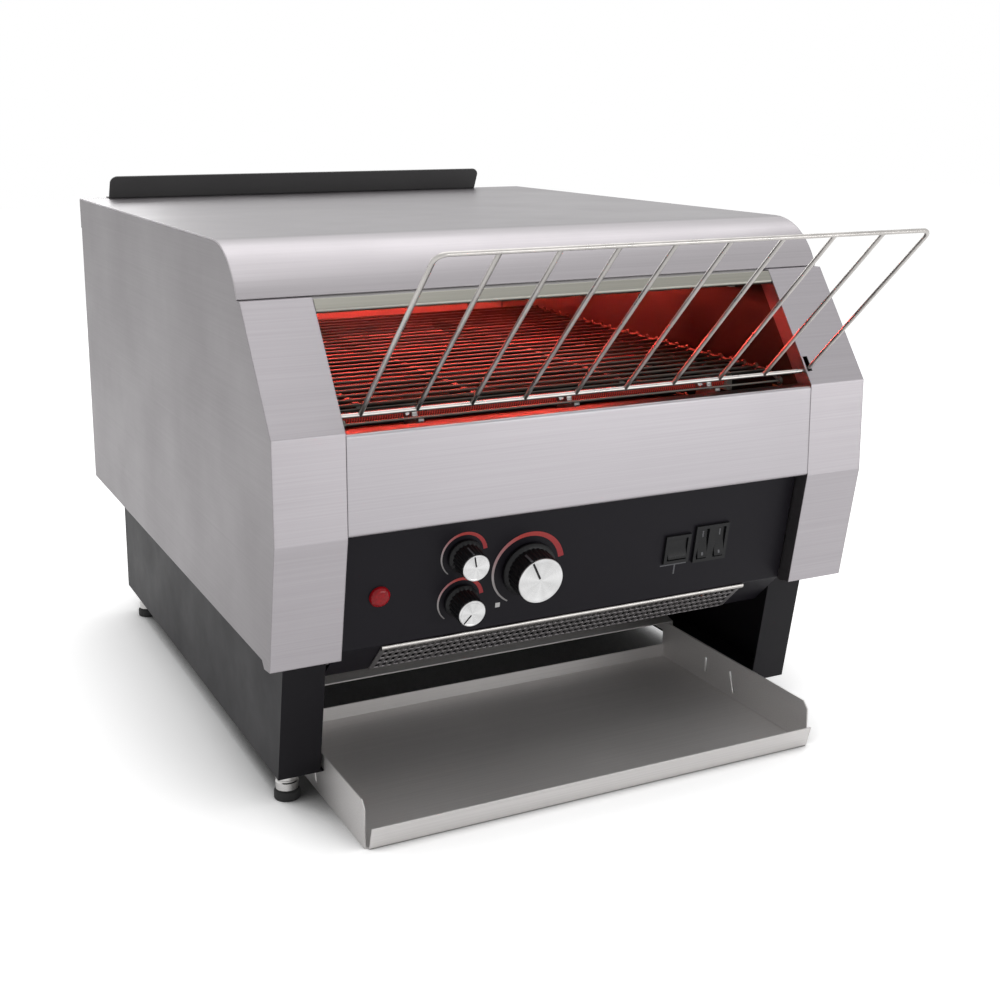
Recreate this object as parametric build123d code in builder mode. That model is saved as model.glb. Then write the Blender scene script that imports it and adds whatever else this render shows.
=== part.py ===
from build123d import *
import os
from math import asin, atan2, cos, degrees, hypot, pi, radians, sin, tan

os.makedirs("parts", exist_ok=True)

# ------------------------------------------------------------------ driving sizes, mm and degrees
# Heights (z) are measured from the counter, depths (y) back from the upright front band.

# Casing
body_width = 468.0
body_depth = 584.0  # front band to the back of the cover's lip
body_top = 397.5
body_floor = 125.0  # underside of the side panels
sheet = 1.2  # stainless casing sheet
fold = 2.2  # outer radius of a fold in it
seat = 0.3  # gap between two pieces that lie against each other
fold_low = 211.0  # the skirt meets the upright band
fold_high = 281.0  # the upright band meets the slanted face
skirt_tilt = 11.3  # skirt, from the vertical
skirt_foot = 121.5
foot_length = 12.6  # tongue that closes the column's lower end
foot_drop = 1.5
foot_rise = 4.5
face_slope = 54.2  # slanted face, from the horizontal
column_width = 49.5
column_return = 14.0  # depth of the fold along a column's inner edge
side_flange = 17.0
floor_flange = 29.0
roll_radius = 57.0  # rolled front of the cover
roll_sweep = 68.0
seam_gap = 0.7  # cover's edge above the columns' ledge
ledge_depth = 5.94  # columns' faces ahead of the cover's edge
lip_height = 28.0
cover_gap = 0.2  # cover over the side panels
rounds = 16  # flats that stand for a round on small plain pieces

# Rear deflector
deflector_insets = (25.0, 57.0)  # its ends from the casing's left and right sides
deflector_setback = 14.0  # ahead of the back of the cover's lip
deflector_height = 20.7
deflector_lean = 28.0
deflector_foot = 12.0
deflector_corner = 7.0

# Front between the columns
band_return = 13.0
band_top_gap = 1.0  # front panel's top edge below the fold line
baffle_gap = 0.65  # below the seam
baffle_height = 9.5
baffle_return = 15.0

# Control panel
panel_sheet = 1.5
panel_setback = 12.5  # behind the skirt plane
panel_length = 93.0  # down to the chin
panel_margin = 1.0  # beside the columns
chin_slope = 43.5
chin_length = 40.7
chin_lip = 8.0
window_margin = 7.5  # inside the guard's ends
window_height = 24.0
knob_reach = 20.5  # caps stand this far off the panel
knob_gap = 0.6  # skirt off the panel
cap_thickness = 1.4
pointer_width = 1.4
pointer_share = 0.8  # of the cap's radius
pointer_depth = 0.4
speed_turn = 27.0  # each pointer's turn from upright, counter-clockwise
upper_heat_turn = 13.0
lower_heat_turn = 140.0
knob_flats = 26  # fine flats round the knobs' grips
shaft_radius = 3.0
shaft_fit = 0.05
bushing_radius = 4.8
bushing_height = 2.4  # above the panel
control_depth = 24.0
speed_knob_at = (-42.0, -49.6)
speed_knob_radii = (20.5, 18.0, 17.2, 4.5)  # skirt, body, cap, skirt height
upper_heat_at = (-93.3, -31.6)
lower_heat_at = (-93.3, -66.8)
heat_knob_radii = (12.5, 10.8, 9.9, 3.0)
lamp_inset = 29.9  # from the left column's edge
lamp_drop = 53.8
lamp_radius = 7.5
lamp_height = 4.0
lamp_stem = 5.0

# Switches: width and length of the opening that a rocker tips in
power_at = (83.0, -52.8)
power_opening = (16.6, 18.0)
mode_left_at = (105.2, -51.5)
mode_right_at = (120.2, -51.5)
mode_opening = (9.0, 25.0)
bezel = 2.6  # rim round a rocker's opening
bezel_height = 2.2
switch_depth = 16.0
rocker_gap = 0.4
rocker_tilt = 8.0
rocker_pivot = 1.0  # behind the panel's face
rocker_taper = 0.8  # inner end's length as a share of the face's

# Perforated guard under the control panel
guard_sheet = 1.0
guard_inset = 34.0  # its ends from the columns' edges
guard_height = 37.5
guard_hem = 3.6
guard_hem_height = 2.4
guard_pitch = 12.0
guard_hole = 7.0

# Feed rack
wire = 1.6  # radius of the rack's wires
rack_pivot = (10.6, 290.0)
rack_top = (-112.5, 404.5)
rack_left_inset = 14.0  # from the left column's edge
rack_right_lap = 3.5  # over the right column
rack_wires = 10
rack_corner = 7.0
pivot_fit = 0.06
slot_width = 4.2
slot_length = 12.5

# Base
base_inset = 17.0  # from the casing's sides
base_foot = 22.6
base_setback = 49.0  # ahead of the back of the cover's lip
leg_bottom = 62.8
leg_top = 41.9
leg_width = 31.0
base_flange = 17.0
rail_flange = 33.6  # inward flange that guides the tray
vent_count = 12
vent_size = (6.0, 44.0)
vent_pitch = 30.0
pan_vents_at = 97.0
foot_inset = 12.0  # from the base's sides
foot_front = 80.9
foot_setback = 29.2  # from the base's back edge
barrel_radius = 8.2
pad_radius = 9.5
pad_height = 7.0
stud_radius = 3.0
stud_fit = 0.3
nut_radius = 6.0
nut_height = 5.0

# Collector tray
tray_sheet = 1.0
tray_gap = 0.4  # beside the rail flanges
tray_front = -17.0
tray_rear = 190.0
tray_height = 34.0
tray_lip = 18.0
tray_lip_lean = 18.0
tray_corner_gap = 2.5
tray_chamfer = 5.0
tray_stop = 12.0
tray_slot = 2.5
tray_slot_upright = (122.0, 10.0, 23.0)  # depth, low and high end
tray_slot_slanted = ((87.0, 23.0), (81.0, 6.0))

# Toast path under the chamber
ramp_sheet = 1.0
ramp_gap = 7.0  # ahead of the base's back edge
ramp_rear_z = 118.0
ramp_front = (178.0, 37.0)
chute_gap = 8.0  # ahead of the chamber walls' back edges
chute_lean = 17.0
chute_lap = 2.0  # its upper end behind and below the upper reflector
drop_width = 52.0  # passage that the toast drops through

# Heating chamber
wall_sheet = 1.0
wall_outset = 1.5  # walls' inner faces outside the columns' edges
wall_setback = 12.5  # behind the columns' faces
wall_gap = 25.5  # below the top of the casing
wall_space = 54.0  # ahead of the back of the cover's lip
reflector_sheet = 0.8
reflector_drop = 6.0  # below the walls' top
reflector_lip = 8.0  # run of the upper reflector's front, height of the lower one's
reflector_lap = 10.5  # over the baffle's return
reflector_fall = 15.0
plate_drop = 18.0  # lower reflector below the belt
element_radius = 5.0
element_drop = 16.0  # upper elements below their reflector
first_element = 110.0
upper_element_end = 75.0  # last element ahead of the passage
lower_element_end = 120.0
upper_element_count = 4
lower_element_count = 3
bushing_size = 14.0
bushing_length = 10.0

# Belt and shafts
pitch = 15.875
teeth = 8
belt_wire = 1.2
idler_depth = 42.0
idler_drop = 15.0  # below the top of the upright band
drive_room = 30.0  # rear shaft ahead of the passage, at least
belt_margin = 10.0  # inside the chamber walls
link_gap = 0.3
axle_radius = 4.0
axle_fit = 0.05
sprocket_inset = 56.0  # from the belt's edges
sprocket_width = 4.0
tooth_gap = 0.3  # teeth inside the belt's wires
tooth_land = 1.4  # half of a tooth's width
tooth_height = 5.5
rail_gap = 4.4  # rails short of the sprockets
hex_radius = 6.0  # hexagonal bar between the round journals
bearing_size = 14.0
bearing_length = 8.0
rail_width = 4.0
rail_height = 8.0
rail_inset = 26.0  # from the belt's edges

# Drive
chain_offset = 13.0  # chain sprockets outside the walls' inner faces
chain_width = 5.0
chain_thickness = 4.0
chain_gap = 0.3
chain_pitch = 6.35
drive_teeth = 14
motor_teeth = 10
motor_lead = 109.0  # ahead of the rear shaft
motor_z = 172.0
gearbox_size = (30.0, 66.0, 66.0)
gearbox_corner = 8.0
can_radius = 26.0
can_length = 62.0
bracket_sheet = 2.0
bracket_width = 90.0
bracket_foot = 34.0

# Back
back_drop = 4.0  # back panel's top edge below the cover's underside
back_margin = 2.0  # inside the casing's sides
fan_inset = 114.0  # from the casing's left side
fan_z = 250.0
fan_size = 119.0
fan_thickness = 38.0
fan_bore = 56.0
fan_hub = 20.0
fan_blades = 7
blade_chord = 25.0
blade_sheet = 1.5
blade_pitch = 35.0
blade_reach = 53.0
blade_sink = 2.0  # root inside the hub
rotor_gap = 4.0  # ahead of the rotor
strut_width = 5.0
strut_sink = 0.5  # end inside the frame
guard_ring = 2.0  # section of the rings of the fan guard
guard_rings = (15.0, 30.0, 45.0, 58.0)
louvre_count = 6
louvre_pitch = 12.0
louvre_width = 78.0
louvre_height = 5.0
louvre_reach = 4.0
louvre_insets = (164.0, 59.0)  # banks' middles from the casing's right side
louvre_z = 320.0
gland_inset = 84.0  # from the casing's right side
gland_z = 165.0
gland_bore = 4.2
gland_thread = 8.0
gland_head = 11.0
gland_reach = 14.0
gland_nut = 5.0
terminal_size = (64.0, 22.0, 20.0)
terminal_ways = 5
terminal_slot = 1.5
screw_radius = 4.0
screw_height = 2.6
screw_inset = 15.0

# ------------------------------------------------------------------ derived sizes and frame
half = body_width / 2
column_edge = half - column_width
rear_face = body_depth - sheet - seat  # outer face of the back panel
side_rear = rear_face - sheet  # outer face of the side panels' rear flange
tilt = radians(skirt_tilt)
slope = radians(face_slope)
chin = radians(chin_slope)
toe = ((fold_low - skirt_foot) * tan(tilt), skirt_foot)
heel = (toe[0] + foot_length, skirt_foot - foot_drop)
roll_z = body_top - roll_radius
seam_z = roll_z + roll_radius * cos(radians(roll_sweep)) - seam_gap
seam_depth = (seam_z - fold_high) / tan(slope)
roll_start = seam_depth + ledge_depth + roll_radius * sin(radians(roll_sweep))
side_roll = roll_radius - sheet - cover_gap  # radius of the side panels' front corner
pan_low = body_floor + sheet
pan_top = pan_low + sheet
baffle_high = seam_z - baffle_gap
baffle_low = baffle_high - baffle_height
guard_width = 2 * (column_edge - guard_inset)
lamp_at = (lamp_inset - column_edge, -lamp_drop)
rack_left = rack_left_inset - column_edge
rack_right = column_edge + rack_right_lap
base_half = half - base_inset
base_rear = body_depth - base_setback
foot_x = base_half - foot_inset
foot_rear = base_rear - foot_setback
tray_half = base_half - rail_flange - tray_gap
ramp_rear = (base_rear - ramp_gap, ramp_rear_z)
chamber_half = column_edge + wall_outset
wall_top = body_top - wall_gap
wall_rear = body_depth - wall_space
chute_depth = wall_rear - chute_gap
reflector_top = wall_top - reflector_drop
reflector_rear = chute_depth - drop_width  # front of the passage
pitch_radius = teeth * pitch / (2 * pi)
shaft_span = int((reflector_rear - drive_room - idler_depth) / pitch)  # in pitches
idler_at = (idler_depth, fold_high - idler_drop)
drive_at = (idler_depth + shaft_span * pitch, fold_high - idler_drop)
motor_at = (drive_at[0] - motor_lead, motor_z)
strands = 2 * shaft_span + teeth
belt_half = chamber_half - belt_margin
sprocket_x = belt_half - sprocket_inset
chain_x = chamber_half + chain_offset
fan_at = (fan_inset - half, fan_z)
gland_at = (half - gland_inset, gland_z)
front = (wire - rack_top[0] - rear_face - gland_reach) / 2  # centres the whole object on the origin


def slant_depth(z):
    """Depth of the slanted face at a height."""
    return (z - fold_high) / tan(slope)


def spread(first, last, count):
    """Evenly spaced depths from the first to the last."""
    return [first + (last - first) * number / (count - 1) for number in range(count)]


def behind_face(depth, low, high):
    """Line that runs a given depth behind the columns' three faces, between two heights."""
    return [
        (depth / cos(tilt) + (fold_low - low) * tan(tilt), low),
        (depth, fold_low + depth * tan(tilt / 2)),
        (depth, fold_high - depth * tan((pi / 2 - slope) / 2)),
        (slant_depth(high) + depth / sin(slope), high),
    ]


def side_plane(x):
    """Upright plane facing +X: local x runs back from the front band and local y up."""
    return Plane(origin=(x, front, 0), x_dir=(0, 1, 0), z_dir=(1, 0, 0))


def front_plane(depth):
    """Upright plane facing the front at a depth: local x runs along +X and local y up."""
    return Plane(origin=(0, front + depth, 0), x_dir=(1, 0, 0), z_dir=(0, -1, 0))


def floor_plane(z):
    """Level plane at a height: local y runs back from the front band."""
    return Plane(origin=(0, front, z))


slant_plane = Plane(
    origin=(0, front, fold_high), x_dir=(1, 0, 0), z_dir=(0, -sin(slope), cos(slope))
)
panel_top = (panel_setback * cos(tilt), fold_low + panel_setback * sin(tilt))
control_plane = Plane(
    origin=(0, front + panel_top[0], panel_top[1]), x_dir=(1, 0, 0), z_dir=(0, -cos(tilt), -sin(tilt))
)
chin_top = (panel_top[0] + panel_length * sin(tilt), panel_top[1] - panel_length * cos(tilt))
chin_end = (chin_top[0] + chin_length * cos(chin), chin_top[1] - chin_length * sin(chin))
chin_plane = Plane(
    origin=(0, front + chin_top[0], chin_top[1]), x_dir=(1, 0, 0), z_dir=(0, -sin(chin), -cos(chin))
)
rack_length = hypot(rack_top[0] - rack_pivot[0], rack_top[1] - rack_pivot[1])
rack_rise = (rack_top[1] - rack_pivot[1]) / rack_length
rack_run = (rack_pivot[0] - rack_top[0]) / rack_length
rack_plane = Plane(
    origin=(0, front + rack_pivot[0], rack_pivot[1]), x_dir=(1, 0, 0), z_dir=(0, -rack_rise, -rack_run)
)


def sheet_section(points, thickness, radius=fold):
    """Section of a folded sheet whose one face follows the points, the sheet lying to their left."""
    with BuildSketch() as section:
        with BuildLine():
            FilletPolyline(*points, radius=radius)
            offset(amount=thickness, side=Side.LEFT)
        make_face()
    return section.sketch


# ------------------------------------------------------------------ casing


def side_outline(inset):
    """Outline of a side panel seen from the side, shrunk by inset."""
    side_top = body_top - sheet - cover_gap
    roll_turn = degrees(pi / 2 - asin((seam_z - roll_z) / side_roll))
    with BuildSketch() as outline:
        with BuildLine():
            roll = CenterArc((roll_start, roll_z), side_roll, 90, roll_turn)
            Polyline(
                roll @ 1,
                (seam_depth, seam_z),
                (0, fold_high),
                (0, fold_low),
                toe,
                heel,
                (heel[0] + foot_rise, body_floor),
                (side_rear, body_floor),
                (side_rear, side_top),
                roll @ 0,
            )
        make_face()
        fillet(outline.vertices().filter_by_position(Axis.X, -fold, fold), radius=fold)
        if inset:
            offset(amount=-inset)
    return outline.sketch


def side_panel(side):
    """Side panel with its front column: side is -1 for the left and 1 for the right."""
    cut_low, cut_high = skirt_foot - foot_length, body_top
    with BuildPart() as panel:
        with BuildSketch(side_plane(side * half)):
            add(side_outline(0))
        extrude(amount=-side * column_width)
        with BuildSketch(side_plane(side * (half - sheet))):
            add(side_outline(sheet))
        extrude(amount=-side * (column_width - 2 * sheet), mode=Mode.SUBTRACT)
        # Behind the column only the flanges stay.
        with BuildSketch(side_plane(side * column_edge)):
            with BuildLine():
                Polyline(
                    *behind_face(column_return, cut_low, cut_high),
                    (body_depth, cut_high),
                    (body_depth, cut_low),
                    close=True,
                )
            make_face()
        extrude(amount=side * (column_width - floor_flange), mode=Mode.SUBTRACT)
        with BuildSketch(side_plane(side * column_edge)):
            with BuildLine():
                Polyline(
                    *behind_face(column_return, body_floor + sheet, cut_high),
                    (body_depth, cut_high),
                    (body_depth, body_floor + sheet),
                    close=True,
                )
            make_face()
        extrude(amount=side * (column_width - side_flange), mode=Mode.SUBTRACT)
        # Hole for the rack's cross wire in the column's inner fold.
        with BuildSketch(side_plane(side * column_edge)):
            with Locations(rack_pivot):
                RegularPolygon(wire + pivot_fit, rounds, major_radius=False)
        extrude(amount=side * sheet, mode=Mode.SUBTRACT)
    return panel


side_panel_left = side_panel(-1)

# The rack's outer wire enters the right column through a slot, whose lower end it rests on.
pivot_depth = rack_pivot[0] * sin(slope) - (rack_pivot[1] - fold_high) * cos(slope)
wire_turn = atan2(rack_rise, rack_run) + slope - pi / 2
wire_crossing = (
    rack_pivot[0] * cos(slope) + (rack_pivot[1] - fold_high) * sin(slope) - pivot_depth * tan(wire_turn)
)
slot_low = wire_crossing - wire - seat
with BuildPart() as side_panel_right:
    add(side_panel(1).part)
    with BuildSketch(slant_plane):
        with Locations((rack_right, slot_low + slot_length / 2)):
            Rectangle(slot_width, slot_length)
    extrude(amount=-2 * sheet, mode=Mode.SUBTRACT)

with BuildPart() as top_cover:
    with BuildSketch(side_plane(-half)):
        with BuildLine():
            FilletPolyline(
                (body_depth, body_top - lip_height),
                (body_depth, body_top),
                (roll_start, body_top),
                radius=fold,
            )
            CenterArc((roll_start, roll_z), roll_radius, 90, roll_sweep)
            offset(amount=sheet, side=Side.LEFT)
        make_face()
    extrude(amount=body_width)

with BuildPart() as rear_deflector:
    lean = deflector_height * tan(radians(deflector_lean))
    deflector_depth = body_depth - deflector_setback
    with BuildSketch(side_plane(deflector_insets[0] - half)):
        add(
            sheet_section(
                [
                    (deflector_depth - lean, body_top + deflector_height),
                    (deflector_depth, body_top),
                    (deflector_depth + deflector_foot, body_top),
                ],
                sheet,
            )
        )
    extrude(amount=body_width - sum(deflector_insets))
    tip = rear_deflector.faces().sort_by(Axis.Z)[-1]
    fillet(tip.edges().filter_by(lambda edge: edge.length < 2 * sheet), radius=deflector_corner)

with BuildPart() as feed_baffle:
    with BuildSketch(side_plane(seat - column_edge)):
        add(
            sheet_section(
                [
                    (slant_depth(baffle_high), baffle_high),
                    (slant_depth(baffle_low), baffle_low),
                    (slant_depth(baffle_low) + baffle_return, baffle_low),
                ],
                sheet,
            )
        )
    extrude(amount=2 * (column_edge - seat))

with BuildPart() as front_panel:
    with BuildSketch(side_plane(seat - column_edge)):
        add(
            sheet_section(
                [
                    (band_return, fold_high - band_top_gap),
                    (0, fold_high - band_top_gap),
                    (0, fold_low + seat),
                    (band_return - 2 * seat, fold_low + seat),
                ],
                sheet,
            )
        )
    extrude(amount=2 * (column_edge - seat))

# ------------------------------------------------------------------ control panel

knob_places = [speed_knob_at, upper_heat_at, lower_heat_at]
mode_centre = ((mode_left_at[0] + mode_right_at[0]) / 2, mode_left_at[1])
mode_pitch = mode_right_at[0] - mode_left_at[0]
mode_frame = (mode_pitch + mode_opening[0] + 2 * bezel, mode_opening[1] + 2 * bezel)
power_frame = (power_opening[0] + 2 * bezel, power_opening[1] + 2 * bezel)

with BuildPart() as control_panel:
    with BuildSketch(side_plane(panel_margin - column_edge)):
        add(
            sheet_section(
                [
                    panel_top,
                    chin_top,
                    chin_end,
                    (chin_end[0] + chin_lip * sin(chin), chin_end[1] + chin_lip * cos(chin)),
                ],
                panel_sheet,
            )
        )
    extrude(amount=2 * (column_edge - panel_margin))
    with BuildSketch(control_plane):
        with Locations(*knob_places):
            RegularPolygon(bushing_radius + seat, 6)
        with Locations(lamp_at):
            Rectangle(2 * lamp_stem + seat, 2 * lamp_stem + seat)
        with Locations(power_at):
            Rectangle(power_frame[0] - bezel / 2, power_frame[1] - bezel / 2)
        with Locations(mode_centre):
            Rectangle(mode_frame[0] - bezel / 2, mode_frame[1] - bezel / 2)
    extrude(amount=-2 * panel_sheet, mode=Mode.SUBTRACT)
    with BuildSketch(chin_plane):
        with Locations((0, -guard_height / 2)):
            Rectangle(guard_width - 2 * window_margin, window_height)
    extrude(amount=-2 * panel_sheet, mode=Mode.SUBTRACT)

with BuildPart() as perforated_guard:
    with BuildSketch(chin_plane.offset(seat)):
        with Locations((0, -guard_height / 2)):
            Rectangle(guard_width, guard_height)
            with GridLocations(guard_pitch, guard_pitch, int(guard_width / guard_pitch), 2):
                Rectangle(guard_hole, guard_hole, mode=Mode.SUBTRACT)
    extrude(amount=guard_sheet)
    with BuildSketch(chin_plane.offset(seat)):
        with Locations((0, -guard_hem / 2)):
            Rectangle(guard_width, guard_hem)
    extrude(amount=guard_hem_height)


def knob(place, radii):
    """Knob with a skirt, a body and a hollow under it for the bushing, bored for its shaft."""
    skirt, body, _, skirt_height = radii
    body_height = knob_reach - cap_thickness - knob_gap
    with BuildPart() as turned:
        with BuildSketch(control_plane.offset(knob_gap)):
            with Locations(place):
                RegularPolygon(skirt, knob_flats)
        extrude(amount=skirt_height)
        with BuildSketch(control_plane.offset(knob_gap)):
            with Locations(place):
                RegularPolygon(body, knob_flats)
        extrude(amount=body_height)
        with BuildSketch(control_plane.offset(knob_gap)):
            with Locations(place):
                RegularPolygon(bushing_radius + seat, 8, major_radius=False)
        extrude(amount=bushing_height - knob_gap + seat, mode=Mode.SUBTRACT)
        with BuildSketch(control_plane.offset(knob_gap)):
            with Locations(place):
                RegularPolygon(shaft_radius, 6)
        extrude(amount=body_height - cap_thickness, mode=Mode.SUBTRACT)
    return turned


def knob_cap(place, radius, turn):
    """Flat metal cap with a pointer line from its centre towards its edge, turned from upright."""
    with BuildPart() as cap:
        with BuildSketch(control_plane.offset(knob_reach - cap_thickness)):
            with Locations(place):
                RegularPolygon(radius, knob_flats)
        extrude(amount=cap_thickness)
        with BuildSketch(control_plane.offset(knob_reach)):
            with Locations(place):
                with PolarLocations(radius / 2, 1, start_angle=90 + turn):
                    Rectangle(radius * pointer_share, pointer_width)
        extrude(amount=-pointer_depth, mode=Mode.SUBTRACT)
    return cap


def knob_shaft(place):
    """Control shaft: hexagonal in the knob, round in the control's bushing."""
    with BuildPart() as shaft:
        with BuildSketch(control_plane.offset(knob_reach - 2 * cap_thickness)):
            with Locations(place):
                RegularPolygon(shaft_radius, 6)
        extrude(amount=bushing_height - knob_reach + 2 * cap_thickness)
        with BuildSketch(control_plane.offset(bushing_height)):
            with Locations(place):
                RegularPolygon(shaft_radius, rounds)
        extrude(amount=-bushing_height - control_depth / 2)
    return shaft


speed_knob = knob(speed_knob_at, speed_knob_radii)
speed_cap = knob_cap(speed_knob_at, speed_knob_radii[2], speed_turn)
speed_shaft = knob_shaft(speed_knob_at)
upper_heat_knob = knob(upper_heat_at, heat_knob_radii)
upper_heat_cap = knob_cap(upper_heat_at, heat_knob_radii[2], upper_heat_turn)
upper_heat_shaft = knob_shaft(upper_heat_at)
lower_heat_knob = knob(lower_heat_at, heat_knob_radii)
lower_heat_cap = knob_cap(lower_heat_at, heat_knob_radii[2], lower_heat_turn)
lower_heat_shaft = knob_shaft(lower_heat_at)

with BuildPart() as control_bodies:
    with BuildSketch(control_plane.offset(-panel_sheet)):
        with Locations(*knob_places):
            Rectangle(control_depth, control_depth)
    extrude(amount=-control_depth)
    with BuildSketch(control_plane.offset(-panel_sheet)):
        with Locations(*knob_places):
            RegularPolygon(bushing_radius, 6)
    extrude(amount=panel_sheet + bushing_height)
    with BuildSketch(control_plane.offset(knob_reach)):
        with Locations(*knob_places):
            RegularPolygon(shaft_radius + shaft_fit, rounds, major_radius=False)
    extrude(amount=-knob_reach - control_depth / 2 - seat, mode=Mode.SUBTRACT)

with BuildPart() as indicator_lamp:
    with BuildSketch(control_plane):
        with Locations(lamp_at):
            RegularPolygon(lamp_radius, rounds)
    extrude(amount=lamp_height)
    chamfer(indicator_lamp.faces().sort_by(Axis.Y)[0].edges(), length=lamp_height / 3)
    with BuildSketch(control_plane):
        with Locations(lamp_at):
            Rectangle(2 * lamp_stem, 2 * lamp_stem)
    extrude(amount=-control_depth)

with BuildPart() as switch_frames:
    with BuildSketch(control_plane):
        with Locations(power_at):
            Rectangle(*power_frame)
        with Locations(mode_centre):
            Rectangle(*mode_frame)
    extrude(amount=bezel_height)
    with BuildSketch(control_plane):
        with Locations(power_at):
            Rectangle(power_frame[0] - bezel, power_frame[1] - bezel)
        with Locations(mode_centre):
            Rectangle(mode_frame[0] - bezel, mode_frame[1] - bezel)
    extrude(amount=-switch_depth)
    with BuildSketch(control_plane.offset(bezel_height)):
        with Locations(power_at):
            Rectangle(*power_opening)
        with Locations(mode_left_at, mode_right_at):
            Rectangle(*mode_opening)
    extrude(amount=-bezel_height - switch_depth + panel_sheet, mode=Mode.SUBTRACT)


def rocker(place, opening):
    """Switch rocker, tipped about its pivot with the upper half pressed in."""
    width = opening[0] - 2 * rocker_gap
    reach = opening[1] / 2 - 2 * rocker_gap
    tip = radians(rocker_tilt)
    pivot_plane = Plane(
        origin=control_plane.from_local_coords((place[0] - width / 2, place[1], -rocker_pivot)),
        x_dir=control_plane.y_dir * cos(tip) - control_plane.z_dir * sin(tip),
        z_dir=control_plane.x_dir,
    )
    face = rocker_pivot + bezel_height
    with BuildPart() as tipped:
        with BuildSketch(pivot_plane):
            with BuildLine():
                Polyline(
                    (-reach, face),
                    (0, face - bezel_height / 2),
                    (reach, face),
                    (reach * rocker_taper, -switch_depth / 2),
                    (-reach * rocker_taper, -switch_depth / 2),
                    close=True,
                )
            make_face()
        extrude(amount=width)
    return tipped


power_rocker = rocker(power_at, power_opening)
mode_rocker_left = rocker(mode_left_at, mode_opening)
mode_rocker_right = rocker(mode_right_at, mode_opening)

# ------------------------------------------------------------------ feed rack

rack_gap = (rack_right - rack_left) / (rack_wires - 1)
with BuildPart() as feed_rack:
    # The outer wire is bent in one piece round the top.
    with BuildLine(rack_plane) as outer_wire:
        FilletPolyline(
            (rack_left, 0),
            (rack_left, rack_length),
            (rack_right, rack_length),
            (rack_right, 0),
            radius=rack_corner,
        )
    with BuildSketch(Plane(outer_wire.line @ 0, x_dir=(1, 0, 0), z_dir=outer_wire.line % 0)):
        RegularPolygon(wire, 8)
    sweep(path=outer_wire.line)
    wire_plane = Plane(rack_plane.origin, x_dir=(1, 0, 0), z_dir=rack_plane.y_dir)
    with BuildSketch(wire_plane):
        for number in range(1, rack_wires - 1):
            with Locations((rack_left + number * rack_gap, 0)):
                RegularPolygon(wire, 6)
    extrude(amount=rack_length)
    with BuildSketch(side_plane(-column_edge - 2 * sheet)):
        with Locations(rack_pivot):
            RegularPolygon(wire, 8)
    extrude(amount=column_edge + 2 * sheet + rack_right + wire)

# ------------------------------------------------------------------ base, feet and tray


def base_outline(inset):
    """Outline of a base side seen from the side, shrunk by inset."""
    with BuildSketch() as outline:
        with BuildLine():
            Polyline(
                (leg_bottom, base_foot),
                (base_rear, base_foot),
                (base_rear, body_floor),
                (leg_top, body_floor),
                close=True,
            )
        make_face()
        if inset:
            offset(amount=-inset, kind=Kind.INTERSECTION)
    return outline.sketch


def base_side(side):
    """Base side with a leg flange at the front and flanges along its other edges."""
    with BuildPart() as panel:
        with BuildSketch(side_plane(side * base_half)):
            add(base_outline(0))
        extrude(amount=-side * rail_flange)
        with BuildSketch(side_plane(side * (base_half - sheet))):
            add(base_outline(sheet))
        extrude(amount=-side * rail_flange, mode=Mode.SUBTRACT)
        # The leg flange is a little narrower than the flange that guides the tray.
        with BuildSketch(side_plane(side * (base_half - leg_width))):
            with Locations(((leg_bottom + leg_top) / 2, base_foot + sheet)):
                Rectangle(leg_bottom, body_floor, align=(Align.CENTER, Align.MIN))
        extrude(amount=-side * rail_flange, mode=Mode.SUBTRACT)
        with BuildSketch(side_plane(side * (base_half - base_flange))):
            with BuildLine():
                Polyline(
                    (leg_bottom + base_flange, base_foot + sheet),
                    (base_rear, base_foot + sheet),
                    (base_rear, body_floor),
                    (leg_bottom + base_flange, body_floor),
                    close=True,
                )
            make_face()
        extrude(amount=-side * rail_flange, mode=Mode.SUBTRACT)
        with BuildSketch(floor_plane(base_foot)):
            with Locations((side * foot_x, foot_front), (side * foot_x, foot_rear)):
                RegularPolygon(stud_radius + stud_fit, 6)
        extrude(amount=sheet, mode=Mode.SUBTRACT)
    return panel


base_side_left = base_side(-1)
base_side_right = base_side(1)

feet_at = [(x, depth) for x in (-foot_x, foot_x) for depth in (foot_front, foot_rear)]

with BuildPart() as foot_barrels:
    with BuildSketch(floor_plane(pad_height)):
        with Locations(*feet_at):
            RegularPolygon(barrel_radius, rounds)
    extrude(amount=base_foot - pad_height)
    with BuildSketch(floor_plane(base_foot)):
        with Locations(*feet_at):
            RegularPolygon(stud_radius, 6)
    extrude(amount=sheet)
    with BuildSketch(floor_plane(base_foot + sheet)):
        with Locations(*feet_at):
            RegularPolygon(nut_radius, 6)
    extrude(amount=nut_height)

with BuildPart() as foot_pads:
    with BuildSketch(floor_plane(0)):
        with Locations(*feet_at):
            RegularPolygon(pad_radius, rounds)
    extrude(amount=pad_height)

with BuildPart() as base_rear_panel:
    with BuildSketch(front_plane(base_rear + sheet)):
        with Locations((0, (base_foot + body_floor) / 2)):
            Rectangle(2 * (base_half - sheet), body_floor - base_foot - 2 * sheet)
            with GridLocations(vent_pitch, 1, vent_count, 1):
                Rectangle(*vent_size, mode=Mode.SUBTRACT)
    extrude(amount=sheet)

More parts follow.
